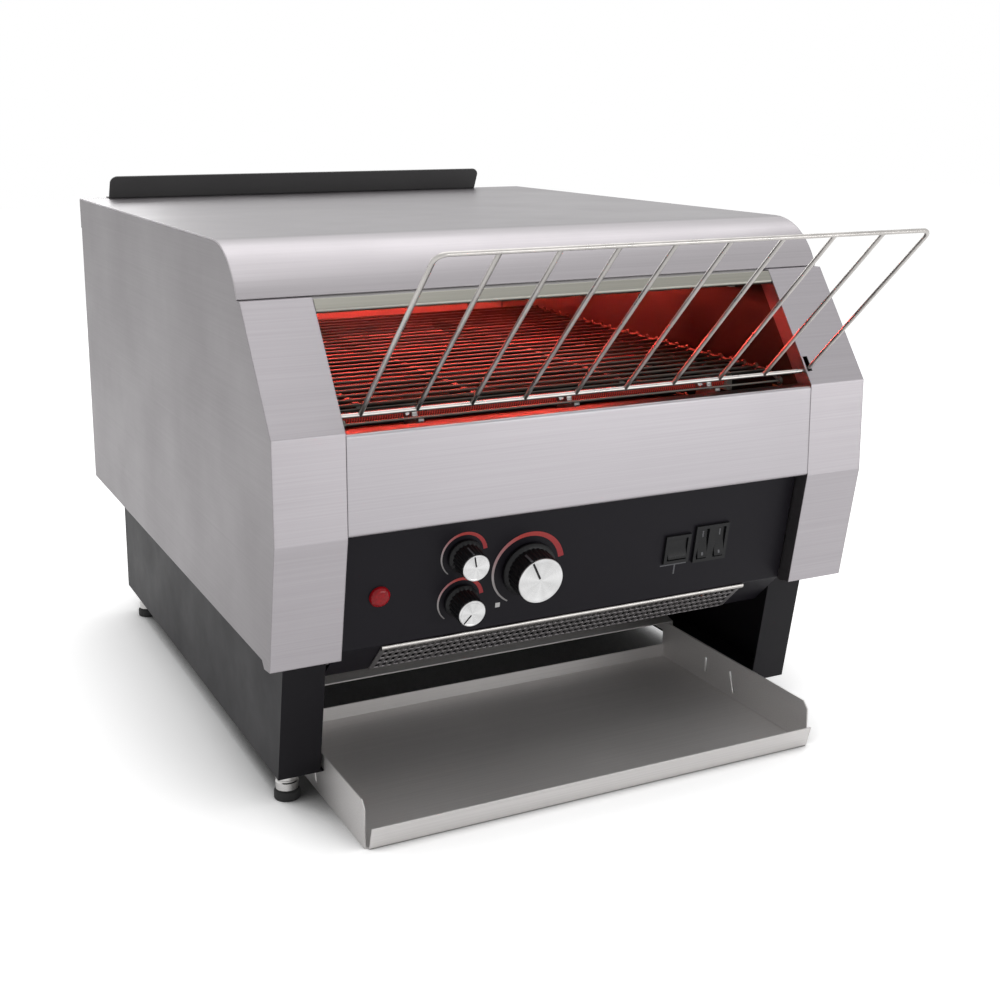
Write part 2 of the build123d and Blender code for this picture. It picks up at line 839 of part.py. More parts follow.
lip_run = tray_lip * sin(radians(tray_lip_lean))
lip_rise = tray_lip * cos(radians(tray_lip_lean))
with BuildPart() as collector_tray:
    with BuildSketch(side_plane(-tray_half)):
        with Locations(((tray_front + tray_rear) / 2, tray_sheet / 2)):
            Rectangle(tray_rear - tray_front - 2 * fold, tray_sheet)
        with Locations((tray_rear - tray_sheet / 2, tray_stop / 2)):
            Rectangle(tray_sheet, tray_stop)
        with Locations((tray_rear - fold, tray_sheet / 2)):
            Rectangle(2 * fold - 2 * tray_sheet, tray_sheet)
    extrude(amount=2 * tray_half)
    with BuildSketch(side_plane(tray_corner_gap - tray_half)):
        add(
            sheet_section(
                [(tray_front - lip_run, lip_rise), (tray_front, 0), (tray_front + 4 * fold, 0)],
                tray_sheet,
            )
        )
    extrude(amount=2 * (tray_half - tray_corner_gap))
    # Side walls, with two slots in each.
    with BuildSketch(side_plane(-tray_half)):
        with BuildLine():
            Polyline(
                (tray_front + fold, 0),
                (tray_front + fold, tray_height - tray_chamfer),
                (tray_front + fold + tray_chamfer, tray_height),
                (tray_rear, tray_height),
                (tray_rear, 0),
                close=True,
            )
        make_face()
        upright, low, high = tray_slot_upright
        with Locations((upright, (low + high) / 2)):
            Rectangle(tray_slot, high - low, mode=Mode.SUBTRACT)
        (near, near_z), (far, far_z) = tray_slot_slanted
        with Locations(((near + far) / 2, (near_z + far_z) / 2)):
            Rectangle(
                hypot(near - far, near_z - far_z),
                tray_slot,
                rotation=degrees(atan2(near_z - far_z, near - far)),
                mode=Mode.SUBTRACT,
            )
    extrude(amount=tray_sheet)
    mirror(about=Plane.YZ)

# ------------------------------------------------------------------ chassis and toast path

with BuildPart() as chassis_pan:
    pan_front = chin_top[0] + panel_sheet / cos(tilt)
    with BuildSketch(floor_plane(pan_low)):
        with Locations((0, (pan_front + side_rear - sheet - seat) / 2)):
            Rectangle(2 * (half - sheet - seat), side_rear - sheet - seat - pan_front)
        with Locations((0, (reflector_rear + chute_depth + 2 * wall_sheet) / 2)):
            Rectangle(2 * column_edge, drop_width + 2 * wall_sheet, mode=Mode.SUBTRACT)
        with Locations((0, pan_vents_at)):
            with GridLocations(vent_pitch, 1, vent_count - 1, 1):
                Rectangle(*vent_size, mode=Mode.SUBTRACT)
    extrude(amount=sheet)

with BuildPart() as lower_reflector:
    plate_z = idler_at[1] - pitch_radius - plate_drop
    with BuildSketch(side_plane(seat - chamber_half)):
        add(
            sheet_section(
                [
                    (reflector_rear, pan_top + seat),
                    (reflector_rear, plate_z),
                    (idler_depth - wall_setback, plate_z),
                    (idler_depth - wall_setback, plate_z + reflector_lip),
                ],
                reflector_sheet,
            )
        )
    extrude(amount=2 * (chamber_half - seat))

upper_element_z = reflector_top - element_drop
upper_elements_at = spread(first_element, reflector_rear - upper_element_end, upper_element_count)
lower_elements_at = spread(first_element, reflector_rear - lower_element_end, lower_element_count)

with BuildPart() as upper_reflector:
    reflector_front = slant_depth(baffle_low) + reflector_lap
    reflector_low = baffle_low + sheet + seat
    with BuildSketch(side_plane(seat - column_edge)):
        add(
            sheet_section(
                [
                    (reflector_front, reflector_low),
                    (reflector_front + reflector_lip, reflector_top),
                    (reflector_rear - reflector_fall, reflector_top),
                    (reflector_rear, upper_element_z),
                ],
                reflector_sheet,
            )
        )
    extrude(amount=2 * (column_edge - seat))

with BuildPart() as toast_chute:
    with BuildSketch(side_plane(seat - chamber_half)):
        add(
            sheet_section(
                [
                    (chute_depth, pan_top + seat),
                    (chute_depth, idler_at[1] + pitch_radius),
                    (chute_depth - chute_lean, idler_at[1] + 3 * pitch_radius),
                    (reflector_rear + chute_lap, upper_element_z - chute_lap),
                ],
                wall_sheet,
            )
        )
    extrude(amount=2 * (chamber_half - seat))

with BuildPart() as discharge_ramp:
    rail_edge = base_half - rail_flange
    with BuildSketch(side_plane(-rail_edge - ramp_sheet - seat)):
        with BuildLine():
            Line(ramp_front, ramp_rear)
            offset(amount=ramp_sheet, side=Side.RIGHT)
        make_face()
    extrude(amount=2 * (rail_edge + ramp_sheet + seat))
    with BuildSketch(side_plane(-rail_edge - seat)):
        with BuildLine():
            Polyline(
                ramp_front,
                ramp_rear,
                (ramp_rear[0], base_foot + sheet),
                (ramp_front[0], base_foot + sheet),
                close=True,
            )
        make_face()
    extrude(amount=-ramp_sheet)
    mirror(about=Plane.YZ)

# ------------------------------------------------------------------ heating chamber


def chamber_wall(side):
    """Wall of the chamber, standing on the pan, with holes for the elements' ends and the bearings."""
    with BuildPart() as wall:
        with BuildSketch(side_plane(side * chamber_half)):
            with BuildLine():
                Polyline(
                    *behind_face(wall_setback, pan_top, wall_top),
                    (wall_rear, wall_top),
                    (wall_rear, pan_top),
                    close=True,
                )
            make_face()
            with Locations(*[(depth, upper_element_z) for depth in upper_elements_at]):
                Rectangle(bushing_size + seat, bushing_size + seat, mode=Mode.SUBTRACT)
            with Locations(*[(depth, idler_at[1]) for depth in lower_elements_at]):
                Rectangle(bushing_size + seat, bushing_size + seat, mode=Mode.SUBTRACT)
            with Locations(idler_at, drive_at):
                Rectangle(bearing_size + seat, bearing_size + seat, mode=Mode.SUBTRACT)
            if side > 0:
                with Locations(motor_at):
                    Rectangle(bearing_size, bearing_size, mode=Mode.SUBTRACT)
        extrude(amount=side * wall_sheet)
    return wall


chamber_wall_left = chamber_wall(-1)
chamber_wall_right = chamber_wall(1)
element_half = chamber_half - bushing_length / 2


def element_set(depths, z):
    """Quartz tubes that run across the chamber at the given depths."""
    with BuildPart() as tubes:
        with BuildSketch(side_plane(-element_half)):
            with Locations(*[(depth, z) for depth in depths]):
                RegularPolygon(element_radius, 12)
        extrude(amount=2 * element_half)
    return tubes


upper_elements = element_set(upper_elements_at, upper_element_z)
lower_elements = element_set(lower_elements_at, idler_at[1])

with BuildPart() as element_bushings:
    with BuildSketch(side_plane(element_half)):
        with Locations(*[(depth, upper_element_z) for depth in upper_elements_at]):
            Rectangle(bushing_size, bushing_size)
        with Locations(*[(depth, idler_at[1]) for depth in lower_elements_at]):
            Rectangle(bushing_size, bushing_size)
    extrude(amount=bushing_length)
    mirror(about=Plane.YZ)

with BuildPart() as belt_rails:
    rail_top = idler_at[1] + pitch_radius - belt_wire - seat
    rail_front = idler_depth + pitch_radius + rail_gap
    rail_rear = drive_at[0] - pitch_radius - rail_gap
    bar_z = rail_top - rail_height - seat - rail_width / 2
    with BuildSketch(floor_plane(rail_top - rail_height)):
        for x in (rail_inset - belt_half, -sprocket_x / 2, sprocket_x / 2, belt_half - rail_inset):
            with Locations((x, (rail_front + rail_rear) / 2)):
                Rectangle(rail_width, rail_rear - rail_front)
    extrude(amount=rail_height)
    # Bars across the chamber, midway between the lower elements, carry the rails.
    middles = [(near + far) / 2 for near, far in zip(lower_elements_at, lower_elements_at[1:])]
    with BuildSketch(side_plane(seat - chamber_half)):
        with Locations(*[(depth, bar_z) for depth in middles]):
            Rectangle(rail_height, rail_width)
    extrude(amount=2 * (chamber_half - seat))

# ------------------------------------------------------------------ belt, sprockets and shafts


def loop_point(distance):
    """Place on the belt's pitch line, measured from the top of the front sprockets backwards."""
    run = shaft_span * pitch
    turn = teeth * pitch / 2
    distance = distance % (2 * (run + turn))
    if distance < run:
        return (idler_at[0] + distance, idler_at[1] + pitch_radius)
    if distance < run + turn:
        angle = (distance - run) / pitch_radius
        return (drive_at[0] + pitch_radius * sin(angle), drive_at[1] + pitch_radius * cos(angle))
    if distance < 2 * run + turn:
        return (drive_at[0] - (distance - run - turn), idler_at[1] - pitch_radius)
    angle = (distance - 2 * run - turn) / pitch_radius
    return (idler_at[0] - pitch_radius * sin(angle), idler_at[1] - pitch_radius * cos(angle))


with BuildPart() as conveyor_belt:
    # Each strand is a cross wire whose two ends turn back to the strand behind it.
    for number in range(strands):
        here = loop_point(number * pitch)
        behind = loop_point((number - 1) * pitch)
        link = hypot(here[0] - behind[0], here[1] - behind[1])
        share = (link - belt_wire - link_gap) / link
        tip = (here[0] + (behind[0] - here[0]) * share, here[1] + (behind[1] - here[1]) * share)
        with BuildLine() as strand:
            Polyline(
                (-belt_half, front + tip[0], tip[1]),
                (-belt_half, front + here[0], here[1]),
                (belt_half, front + here[0], here[1]),
                (belt_half, front + tip[0], tip[1]),
            )
        with BuildSketch(Plane(strand.line @ 0, x_dir=(1, 0, 0), z_dir=strand.line % 0)):
            RegularPolygon(belt_wire, 4)
        sweep(path=strand.line, transition=Transition.RIGHT)


def sprocket_row(place):
    """Three belt sprockets on one shaft, with a blunt tooth under each cross wire that they carry."""
    tip = pitch_radius - belt_wire - tooth_gap
    root = tip - tooth_height
    mouth = tip * sin(pi / teeth) - tooth_land  # half of the notch between two teeth
    with BuildPart() as row:
        for x in (-sprocket_x, 0, sprocket_x):
            with BuildSketch(side_plane(x - sprocket_width / 2)):
                with Locations(place):
                    RegularPolygon(tip, teeth, rotation=90)
                    RegularPolygon(hex_radius, 6, mode=Mode.SUBTRACT)
                    with PolarLocations(0, teeth, start_angle=90 + 180 / teeth):
                        Polygon(
                            (root, -mouth / 2),
                            (tip, -mouth),
                            (tip, mouth),
                            (root, mouth / 2),
                            align=None,
                            mode=Mode.SUBTRACT,
                        )
            extrude(amount=sprocket_width)
    return row


def axle(place, right_end):
    """Hexagonal bar across the chamber with a round journal at each end."""
    bar = chamber_half - seat
    with BuildPart() as shaft:
        with BuildSketch(side_plane(-bar)):
            with Locations(place):
                RegularPolygon(hex_radius, 6)
        extrude(amount=2 * bar)
        with BuildSketch(side_plane(-chamber_half - bearing_length)):
            with Locations(place):
                Circle(axle_radius)
        extrude(amount=bearing_length + seat)
        with BuildSketch(side_plane(bar)):
            with Locations(place):
                Circle(axle_radius)
        extrude(amount=right_end - bar)
    return shaft


belt_sprockets_front = sprocket_row(idler_at)
belt_sprockets_rear = sprocket_row(drive_at)
idler_shaft = axle(idler_at, chamber_half + bearing_length)
drive_shaft = axle(drive_at, chain_x + chain_width + sheet)

with BuildPart() as shaft_bearings:
    with BuildSketch(side_plane(chamber_half)):
        with Locations(idler_at, drive_at):
            Rectangle(bearing_size, bearing_size)
            RegularPolygon(axle_radius + axle_fit, rounds, major_radius=False, mode=Mode.SUBTRACT)
    extrude(amount=bearing_length)
    mirror(about=Plane.YZ)

# ------------------------------------------------------------------ drive


def chain_sprocket_part(place, count):
    """Chain sprocket with one tooth for each link that it carries."""
    radius = count * chain_pitch / (2 * pi)
    with BuildPart() as sprocket:
        with BuildSketch(side_plane(chain_x)):
            with Locations(place):
                RegularPolygon(radius, count)
                RegularPolygon(radius, count, rotation=180 / count)
                RegularPolygon(axle_radius + axle_fit, rounds, major_radius=False, mode=Mode.SUBTRACT)
        extrude(amount=chain_width)
    return sprocket


chain_sprocket = chain_sprocket_part(drive_at, drive_teeth)

with BuildPart() as motor_sprocket:
    # It is one piece with the motor's output shaft.
    add(chain_sprocket_part(motor_at, motor_teeth).part)
    with BuildSketch(side_plane(chain_x + chain_width)):
        with Locations(motor_at):
            RegularPolygon(axle_radius + 2 * axle_fit, rounds, major_radius=False)
    extrude(amount=-chain_width)
    with BuildSketch(side_plane(chain_x)):
        with Locations(motor_at):
            Circle(axle_radius)
    extrude(amount=-(chain_x - chamber_half) - gearbox_size[0])

with BuildPart() as drive_chain:
    drive_reach = drive_teeth * chain_pitch / (2 * pi) + chain_gap
    motor_reach = motor_teeth * chain_pitch / (2 * pi) + chain_gap
    with BuildSketch(side_plane(chain_x)):
        with Locations(drive_at):
            RegularPolygon(drive_reach + chain_thickness, rounds)
        with Locations(motor_at):
            RegularPolygon(motor_reach + chain_thickness, rounds)
        make_hull()
    extrude(amount=chain_width)
    with BuildSketch(side_plane(chain_x)):
        with Locations(drive_at):
            RegularPolygon(drive_reach, rounds, major_radius=False)
        with Locations(motor_at):
            RegularPolygon(motor_reach, rounds, major_radius=False)
        make_hull()
    extrude(amount=chain_width, mode=Mode.SUBTRACT)

gearbox_right = chamber_half - 2 * bracket_sheet
bracket_top = motor_at[1] + gearbox_size[2] / 2
with BuildPart() as motor_bracket:
    with BuildSketch(side_plane(gearbox_right)):
        with Locations((motor_at[0], pan_top)):
            Rectangle(bracket_width, bracket_top - pan_top, align=(Align.CENTER, Align.MIN))
        with Locations(motor_at):
            Rectangle(bearing_size, bearing_size, mode=Mode.SUBTRACT)
    extrude(amount=bracket_sheet)
    with BuildSketch(floor_plane(pan_top)):
        with Locations((gearbox_right - bracket_foot, motor_at[0])):
            Rectangle(bracket_foot, bracket_width, align=(Align.MIN, Align.CENTER))
    extrude(amount=bracket_sheet)

with BuildPart() as gear_motor:
    with BuildSketch(side_plane(gearbox_right - gearbox_size[0])):
        with Locations(motor_at):
            box = Rectangle(gearbox_size[1], gearbox_size[2])
            chamfer(box.vertices(), length=gearbox_corner)
    extrude(amount=gearbox_size[0])
    with BuildSketch(side_plane(gearbox_right - gearbox_size[0])):
        with Locations(motor_at):
            RegularPolygon(can_radius, rounds)
    extrude(amount=-can_length)
    with BuildSketch(side_plane(gearbox_right)):
        with Locations(motor_at):
            RegularPolygon(axle_radius + axle_fit, rounds, major_radius=False)
    extrude(amount=-gearbox_size[0], mode=Mode.SUBTRACT)

# ------------------------------------------------------------------ back panel and fan

back_top = body_top - sheet - back_drop
with BuildPart() as back_panel:
    with BuildSketch(front_plane(rear_face)):
        with Locations((0, pan_low)):
            Rectangle(2 * (half - back_margin), back_top - pan_low, align=(Align.CENTER, Align.MIN))
        with Locations(fan_at):
            RegularPolygon(fan_bore, rounds, major_radius=False, mode=Mode.SUBTRACT)
        with Locations(gland_at):
            RegularPolygon(gland_thread + seat, 6, mode=Mode.SUBTRACT)
        for inset in louvre_insets:
            with Locations((half - inset, louvre_z)):
                with GridLocations(1, louvre_pitch, 1, louvre_count):
                    Rectangle(louvre_width, louvre_height, mode=Mode.SUBTRACT)
    extrude(amount=sheet)
    # Hoods over the louvre slots.
    for inset in louvre_insets:
        for number in range(louvre_count):
            slot_top = louvre_z + (number - (louvre_count - 1) / 2) * louvre_pitch + louvre_height / 2
            with BuildSketch(side_plane(half - inset - louvre_width / 2)):
                with BuildLine():
                    Polyline(
                        (rear_face - sheet, slot_top + sheet),
                        (rear_face, slot_top + sheet),
                        (rear_face + louvre_reach, slot_top - louvre_height),
                        (rear_face + louvre_reach - sheet, slot_top - louvre_height),
                        (rear_face - sheet, slot_top - sheet / 2),
                        close=True,
                    )
                make_face()
            extrude(amount=louvre_width)

with BuildPart() as fan_frame:
    with BuildSketch(front_plane(side_rear)):
        with Locations(fan_at):
            Rectangle(fan_size, fan_size)
            RegularPolygon(fan_bore, rounds, major_radius=False, mode=Mode.SUBTRACT)
    extrude(amount=fan_thickness)
    with BuildSketch(front_plane(side_rear)):
        with Locations(fan_at):
            RegularPolygon(fan_hub, rounds)
            Rectangle(2 * (fan_bore + strut_sink), strut_width)
            Rectangle(strut_width, 2 * (fan_bore + strut_sink))
            RegularPolygon(shaft_radius + shaft_fit, rounds, major_radius=False, mode=Mode.SUBTRACT)
    extrude(amount=strut_width)

rotor_rear = side_rear - strut_width - 2 * seat
rotor_length = fan_thickness - strut_width - rotor_gap
with BuildPart() as fan_rotor:
    with BuildSketch(front_plane(rotor_rear)):
        with Locations(fan_at):
            RegularPolygon(fan_hub, rounds)
    extrude(amount=rotor_length)
    with BuildSketch(front_plane(rotor_rear + strut_width)):
        with Locations(fan_at):
            Circle(shaft_radius)
    extrude(amount=strut_width)
    for number in range(fan_blades):
        angle = 2 * pi * number / fan_blades
        blade_root = (
            fan_at[0] + (fan_hub - blade_sink) * cos(angle),
            front + rotor_rear - rotor_length / 2,
            fan_at[1] + (fan_hub - blade_sink) * sin(angle),
        )
        with BuildSketch(Plane(blade_root, x_dir=(0, 1, 0), z_dir=(cos(angle), 0, sin(angle)))):
            Rectangle(blade_chord, blade_sheet, rotation=blade_pitch)
        extrude(amount=blade_reach - fan_hub + blade_sink)

with BuildPart() as fan_guard:
    with BuildSketch(front_plane(rear_face + guard_ring)):
        for radius in guard_rings:
            with Locations(fan_at):
                RegularPolygon(radius, rounds)
                RegularPolygon(radius - guard_ring, rounds, mode=Mode.SUBTRACT)
    extrude(amount=guard_ring)
    with BuildSketch(front_plane(rear_face + 2 * guard_ring)):
        with Locations(fan_at):
            Rectangle(2 * guard_rings[-1], guard_ring, rotation=45)
            Rectangle(2 * guard_rings[-1], guard_ring, rotation=-45)
    extrude(amount=guard_ring)

with BuildPart() as cord_gland:
    with BuildSketch(front_plane(rear_face + gland_reach)):
        with Locations(gland_at):
            RegularPolygon(gland_head, 6)
    extrude(amount=gland_reach)
    with BuildSketch(front_plane(rear_face)):
        with Locations(gland_at):
            RegularPolygon(gland_thread, 6)
    extrude(amount=sheet)
    with BuildSketch(front_plane(rear_face - sheet)):
        with Locations(gland_at):
            RegularPolygon(gland_head, 6)
    extrude(amount=gland_nut)
    with BuildSketch(front_plane(rear_face + gland_reach)):
        with Locations(gland_at):
            Circle(gland_bore)
    extrude(amount=gland_reach + sheet + gland_nut, mode=Mode.SUBTRACT)

with BuildPart() as terminal_block:
    terminal_x = gland_at[0] - terminal_size[0] / 2
    terminal_y = wall_rear + terminal_size[1]
    with BuildSketch(floor_plane(pan_top)):
        with Locations((terminal_x, terminal_y)):
            Rectangle(terminal_size[0], terminal_size[1])
    extrude(amount=terminal_size[2])
    with BuildSketch(floor_plane(pan_top + terminal_size[2])):
        with Locations((terminal_x, terminal_y)):
            with GridLocations(terminal_size[0] / terminal_ways, 1, terminal_ways - 1, 1):
                Rectangle(terminal_slot, terminal_size[1])
    extrude(amount=-terminal_size[2] / 3, mode=Mode.SUBTRACT)

with BuildPart() as panel_screws:
    screw_x = half - side_flange / 2
    screw_top = body_top - lip_height - screw_inset
    screw_heights = (pan_top + screw_inset, (pan_top + back_top) / 2, screw_top)
    with BuildSketch(front_plane(rear_face + screw_height)):
        with Locations(*[(x, z) for x in (-screw_x, screw_x) for z in screw_heights]):
            RegularPolygon(screw_radius, 6)
    extrude(amount=screw_height)
    base_screw_x = base_half - base_flange / 2
    base_heights = (base_foot + screw_inset, body_floor - screw_inset)
    with BuildSketch(front_plane(base_rear + sheet + screw_height)):
        with Locations(*[(x, z) for x in (-base_screw_x, base_screw_x) for z in base_heights]):
            RegularPolygon(screw_radius, 6)
    extrude(amount=screw_height)

# ------------------------------------------------------------------ export

pieces = {
    "top_cover": top_cover,
    "side_panel_left": side_panel_left,
    "side_panel_right": side_panel_right,
    "front_panel": front_panel,
    "control_panel": control_panel,
    "rear_deflector": rear_deflector,
    "feed_baffle": feed_baffle,
    "feed_rack": feed_rack,
    "conveyor_belt": conveyor_belt,
    "upper_elements": upper_elements,
    "lower_elements": lower_elements,
    "perforated_guard": perforated_guard,
    "upper_heat_knob": upper_heat_knob,
    "lower_heat_knob": lower_heat_knob,
    "speed_knob": speed_knob,
    "upper_heat_cap": upper_heat_cap,
    "lower_heat_cap": lower_heat_cap,
    "speed_cap": speed_cap,
    "indicator_lamp": indicator_lamp,
    "switch_frames": switch_frames,
    "power_rocker": power_rocker,
    "mode_rocker_left": mode_rocker_left,
    "mode_rocker_right": mode_rocker_right,
    "base_side_left": base_side_left,
    "base_side_right": base_side_right,
    "foot_barrels": foot_barrels,
    "foot_pads": foot_pads,
    "collector_tray": collector_tray,
    "back_panel": back_panel,
    "cord_gland": cord_gland,
    "base_rear_panel": base_rear_panel,
    "chassis_pan": chassis_pan,
    "chamber_wall_left": chamber_wall_left,
    "chamber_wall_right": chamber_wall_right,
    "upper_reflector": upper_reflector,
    "lower_reflector": lower_reflector,
    "element_bushings": element_bushings,
    "belt_rails": belt_rails,
    "drive_shaft": drive_shaft,
    "belt_sprockets_rear": belt_sprockets_rear,
    "idler_shaft": idler_shaft,
    "belt_sprockets_front": belt_sprockets_front,
    "shaft_bearings": shaft_bearings,
    "gear_motor": gear_motor,
    "motor_bracket": motor_bracket,
    "motor_sprocket": motor_sprocket,
    "chain_sprocket": chain_sprocket,
    "drive_chain": drive_chain,
    "fan_frame": fan_frame,
    "fan_rotor": fan_rotor,
    "fan_guard": fan_guard,
    "toast_chute": toast_chute,
    "discharge_ramp": discharge_ramp,
    "upper_heat_shaft": upper_heat_shaft,
    "lower_heat_shaft": lower_heat_shaft,
    "speed_shaft": speed_shaft,
    "control_bodies": control_bodies,
    "terminal_block": terminal_block,
    "panel_screws": panel_screws,
}
for name, piece in pieces.items():
    piece.part.label = name
    export_step(piece.part, f"parts/{name}.step")
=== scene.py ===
from math import cos, pi, radians, sin

import bpy
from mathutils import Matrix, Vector


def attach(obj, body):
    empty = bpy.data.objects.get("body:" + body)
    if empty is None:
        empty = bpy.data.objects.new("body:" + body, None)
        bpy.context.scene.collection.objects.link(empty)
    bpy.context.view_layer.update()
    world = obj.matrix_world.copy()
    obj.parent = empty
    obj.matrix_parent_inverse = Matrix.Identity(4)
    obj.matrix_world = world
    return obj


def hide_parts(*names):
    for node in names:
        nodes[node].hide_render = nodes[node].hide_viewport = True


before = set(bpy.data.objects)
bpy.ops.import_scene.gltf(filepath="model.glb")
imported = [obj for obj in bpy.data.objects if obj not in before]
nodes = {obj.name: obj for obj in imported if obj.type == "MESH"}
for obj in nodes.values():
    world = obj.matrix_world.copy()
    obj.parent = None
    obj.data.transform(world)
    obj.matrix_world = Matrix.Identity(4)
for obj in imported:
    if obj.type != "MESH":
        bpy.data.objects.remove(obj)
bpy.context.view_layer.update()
MM = 0.001


# ---------------------------------------------------------------- materials
def tree(name):
    mat = bpy.data.materials.new(name)
    mat.use_nodes = True
    nt = mat.node_tree
    return mat, nt, nt.nodes["Principled BSDF"]


def coords(nt, scale=(1, 1, 1)):
    """Object coordinates in metres, scaled."""
    tc = nt.nodes.new("ShaderNodeTexCoord")
    mp = nt.nodes.new("ShaderNodeMapping")
    mp.inputs["Scale"].default_value = scale
    nt.links.new(tc.outputs["Object"], mp.inputs["Vector"])
    return mp.outputs["Vector"]


def noise(nt, vector, scale, detail=3.0, rough=0.5):
    n = nt.nodes.new("ShaderNodeTexNoise")
    n.inputs["Scale"].default_value = scale
    n.inputs["Detail"].default_value = detail
    n.inputs["Roughness"].default_value = rough
    nt.links.new(vector, n.inputs["Vector"])
    return n.outputs["Fac"]


def ramp(nt, fac, stops):
    r = nt.nodes.new("ShaderNodeValToRGB")
    e = r.color_ramp.elements
    while len(e) < len(stops):
        e.new(0.5)
    for el, (pos, col) in zip(e, stops):
        el.position = pos
        el.color = (*col, 1) if len(col) == 3 else col
    nt.links.new(fac, r.inputs["Fac"])
    return r.outputs["Color"]


def grey(v):
    return (v, v, v)


def scaled(color, factor):
    return tuple(c * factor for c in color)


def ranged(nt, value, low, high, to_low=0.0, to_high=1.0):
    """Maps low..high to to_low..to_high."""
    m = nt.nodes.new("ShaderNodeMapRange")
    m.inputs["From Min"].default_value = low
    m.inputs["From Max"].default_value = high
    m.inputs["To Min"].default_value = to_low
    m.inputs["To Max"].default_value = to_high
    nt.links.new(value, m.inputs["Value"])
    return m.outputs["Result"]


def spread(nt, fac, low, high):
    """Maps a noise's middle range to low..high."""
    return ranged(nt, fac, 0.3, 0.7, low, high)


def calc(nt, operation, a, b=None):
    """Math node on socket a and on b, a socket or a number."""
    m = nt.nodes.new("ShaderNodeMath")
    m.operation = operation
    nt.links.new(a, m.inputs[0])
    if isinstance(b, float):
        m.inputs[1].default_value = b
    elif b is not None:
        nt.links.new(b, m.inputs[1])
    return m.outputs["Value"]


def split(nt, vector):
    sep = nt.nodes.new("ShaderNodeSeparateXYZ")
    nt.links.new(vector, sep.inputs["Vector"])
    return sep.outputs


def facing(nt):
    """X, Y and Z of the direction that a face looks in, in the object's frame."""
    return split(nt, nt.nodes.new("ShaderNodeTexCoord").outputs["Normal"])


def uv(nt):
    return split(nt, nt.nodes.new("ShaderNodeTexCoord").outputs["UV"])


def bump(nt, bsdf, height, strength, distance):
    b = nt.nodes.new("ShaderNodeBump")
    b.inputs["Strength"].default_value = strength
    b.inputs["Distance"].default_value = distance
    nt.links.new(height, b.inputs["Height"])
    nt.links.new(b.outputs["Normal"], bsdf.inputs["Normal"])
    return b


def mixed(nt, fac, a, b):
    m = nt.nodes.new("ShaderNodeMix")
    m.data_type = "RGBA"
    nt.links.new(fac, m.inputs["Factor"])
    for sock, val in (("A", a), ("B", b)):
        s = [i for i in m.inputs if i.name == sock and i.type == "RGBA"][0]
        if isinstance(val, tuple):
            s.default_value = (*val, 1)
        else:
            nt.links.new(val, s)
    return [o for o in m.outputs if o.type == "RGBA"][0]


def brushed(name, color, rough, grain, metallic=1.0, streak=0.05, marks=0.04,
            side=None, inner=None, flat=None, rear=None):
    """Brushed sheet: streaks along one axis under cloudy handling marks, and softly rounded folds.

    side is a darker colour painted on the faces that look sideways, as painted shade; there the streaks also run
    along Y instead.
    inner is a dark, cloudy colour painted on the faces that don't look forward, as painted shade.
    flat is the colour of the faces that look straight up: painted shade that makes them darker than the rest of
    the sheet.
    rear is the colour that the sheet has from 0.20 m behind the middle, and color the one that it has
    from 0.08 m before it.
    """
    mat, nt, bsdf = tree(name)
    long, fine = 6.0, 900.0
    scale = {"x": (long, fine, fine), "y": (fine, long, fine)}
    streaks = noise(nt, coords(nt, scale[grain]), 1.0, 2.0)
    clouds = noise(nt, coords(nt), 9.0, 4.0, 0.6)
    base = ramp(nt, streaks, [(0.25, scaled(color, 1 - streak)), (0.75, scaled(color, 1 + streak))])
    # Painted shade: faces that look sideways are darkened to the side colour, and their streaks turn to run along
    # Y.
    if side:
        cross = calc(nt, "ABSOLUTE", facing(nt)["X"])
        along = noise(nt, coords(nt, scale["y"]), 1.0, 2.0)
        tint = ramp(nt, along, [(0.25, scaled(side, 1 - streak)), (0.75, scaled(side, 1 + streak))])
        base = mixed(nt, cross, base, tint)
        both = nt.nodes.new("ShaderNodeMix")
        nt.links.new(cross, both.inputs["Factor"])
        nt.links.new(streaks, both.inputs["A"])
        nt.links.new(along, both.inputs["B"])
        streaks = both.outputs["Result"]
    # Painted shade: faces that don't look forward are darkened to the inner colour.
    if inner:
        turned = calc(nt, "GREATER_THAN", facing(nt)["Y"], -0.3)
        base = mixed(nt, turned, base, ramp(nt, clouds, [(0.3, inner), (0.7, scaled(inner, 1.6))]))
    # Painted shade: faces that look straight up are darkened to the flat colour.
    if flat:
        level = ranged(nt, facing(nt)["Z"], 0.985, 0.999)
        base = mixed(nt, level, base, ramp(nt, streaks, [(0.25, scaled(flat, 1 - streak)), (0.75, flat)]))
    # Painted shade: the sheet darkens towards the front, from the rear colour behind 0.20 m to color before 0.08
    # m.
    if rear:
        depth = ranged(nt, split(nt, coords(nt))["Y"], -0.08, 0.20)
        base = mixed(nt, depth, base, ramp(nt, streaks, [(0.25, scaled(rear, 1 - streak)), (0.75, rear)]))
    nt.links.new(base, bsdf.inputs["Base Color"])
    nt.links.new(spread(nt, clouds, rough - marks, rough + marks), bsdf.inputs["Roughness"])
    b = bump(nt, bsdf, streaks, 0.12, 0.00004)
    fold = nt.nodes.new("ShaderNodeBevel")
    fold.samples = 4
    fold.inputs["Radius"].default_value = 0.0012
    nt.links.new(fold.outputs["Normal"], b.inputs["Normal"])
    bsdf.inputs["Metallic"].default_value = metallic
    return mat


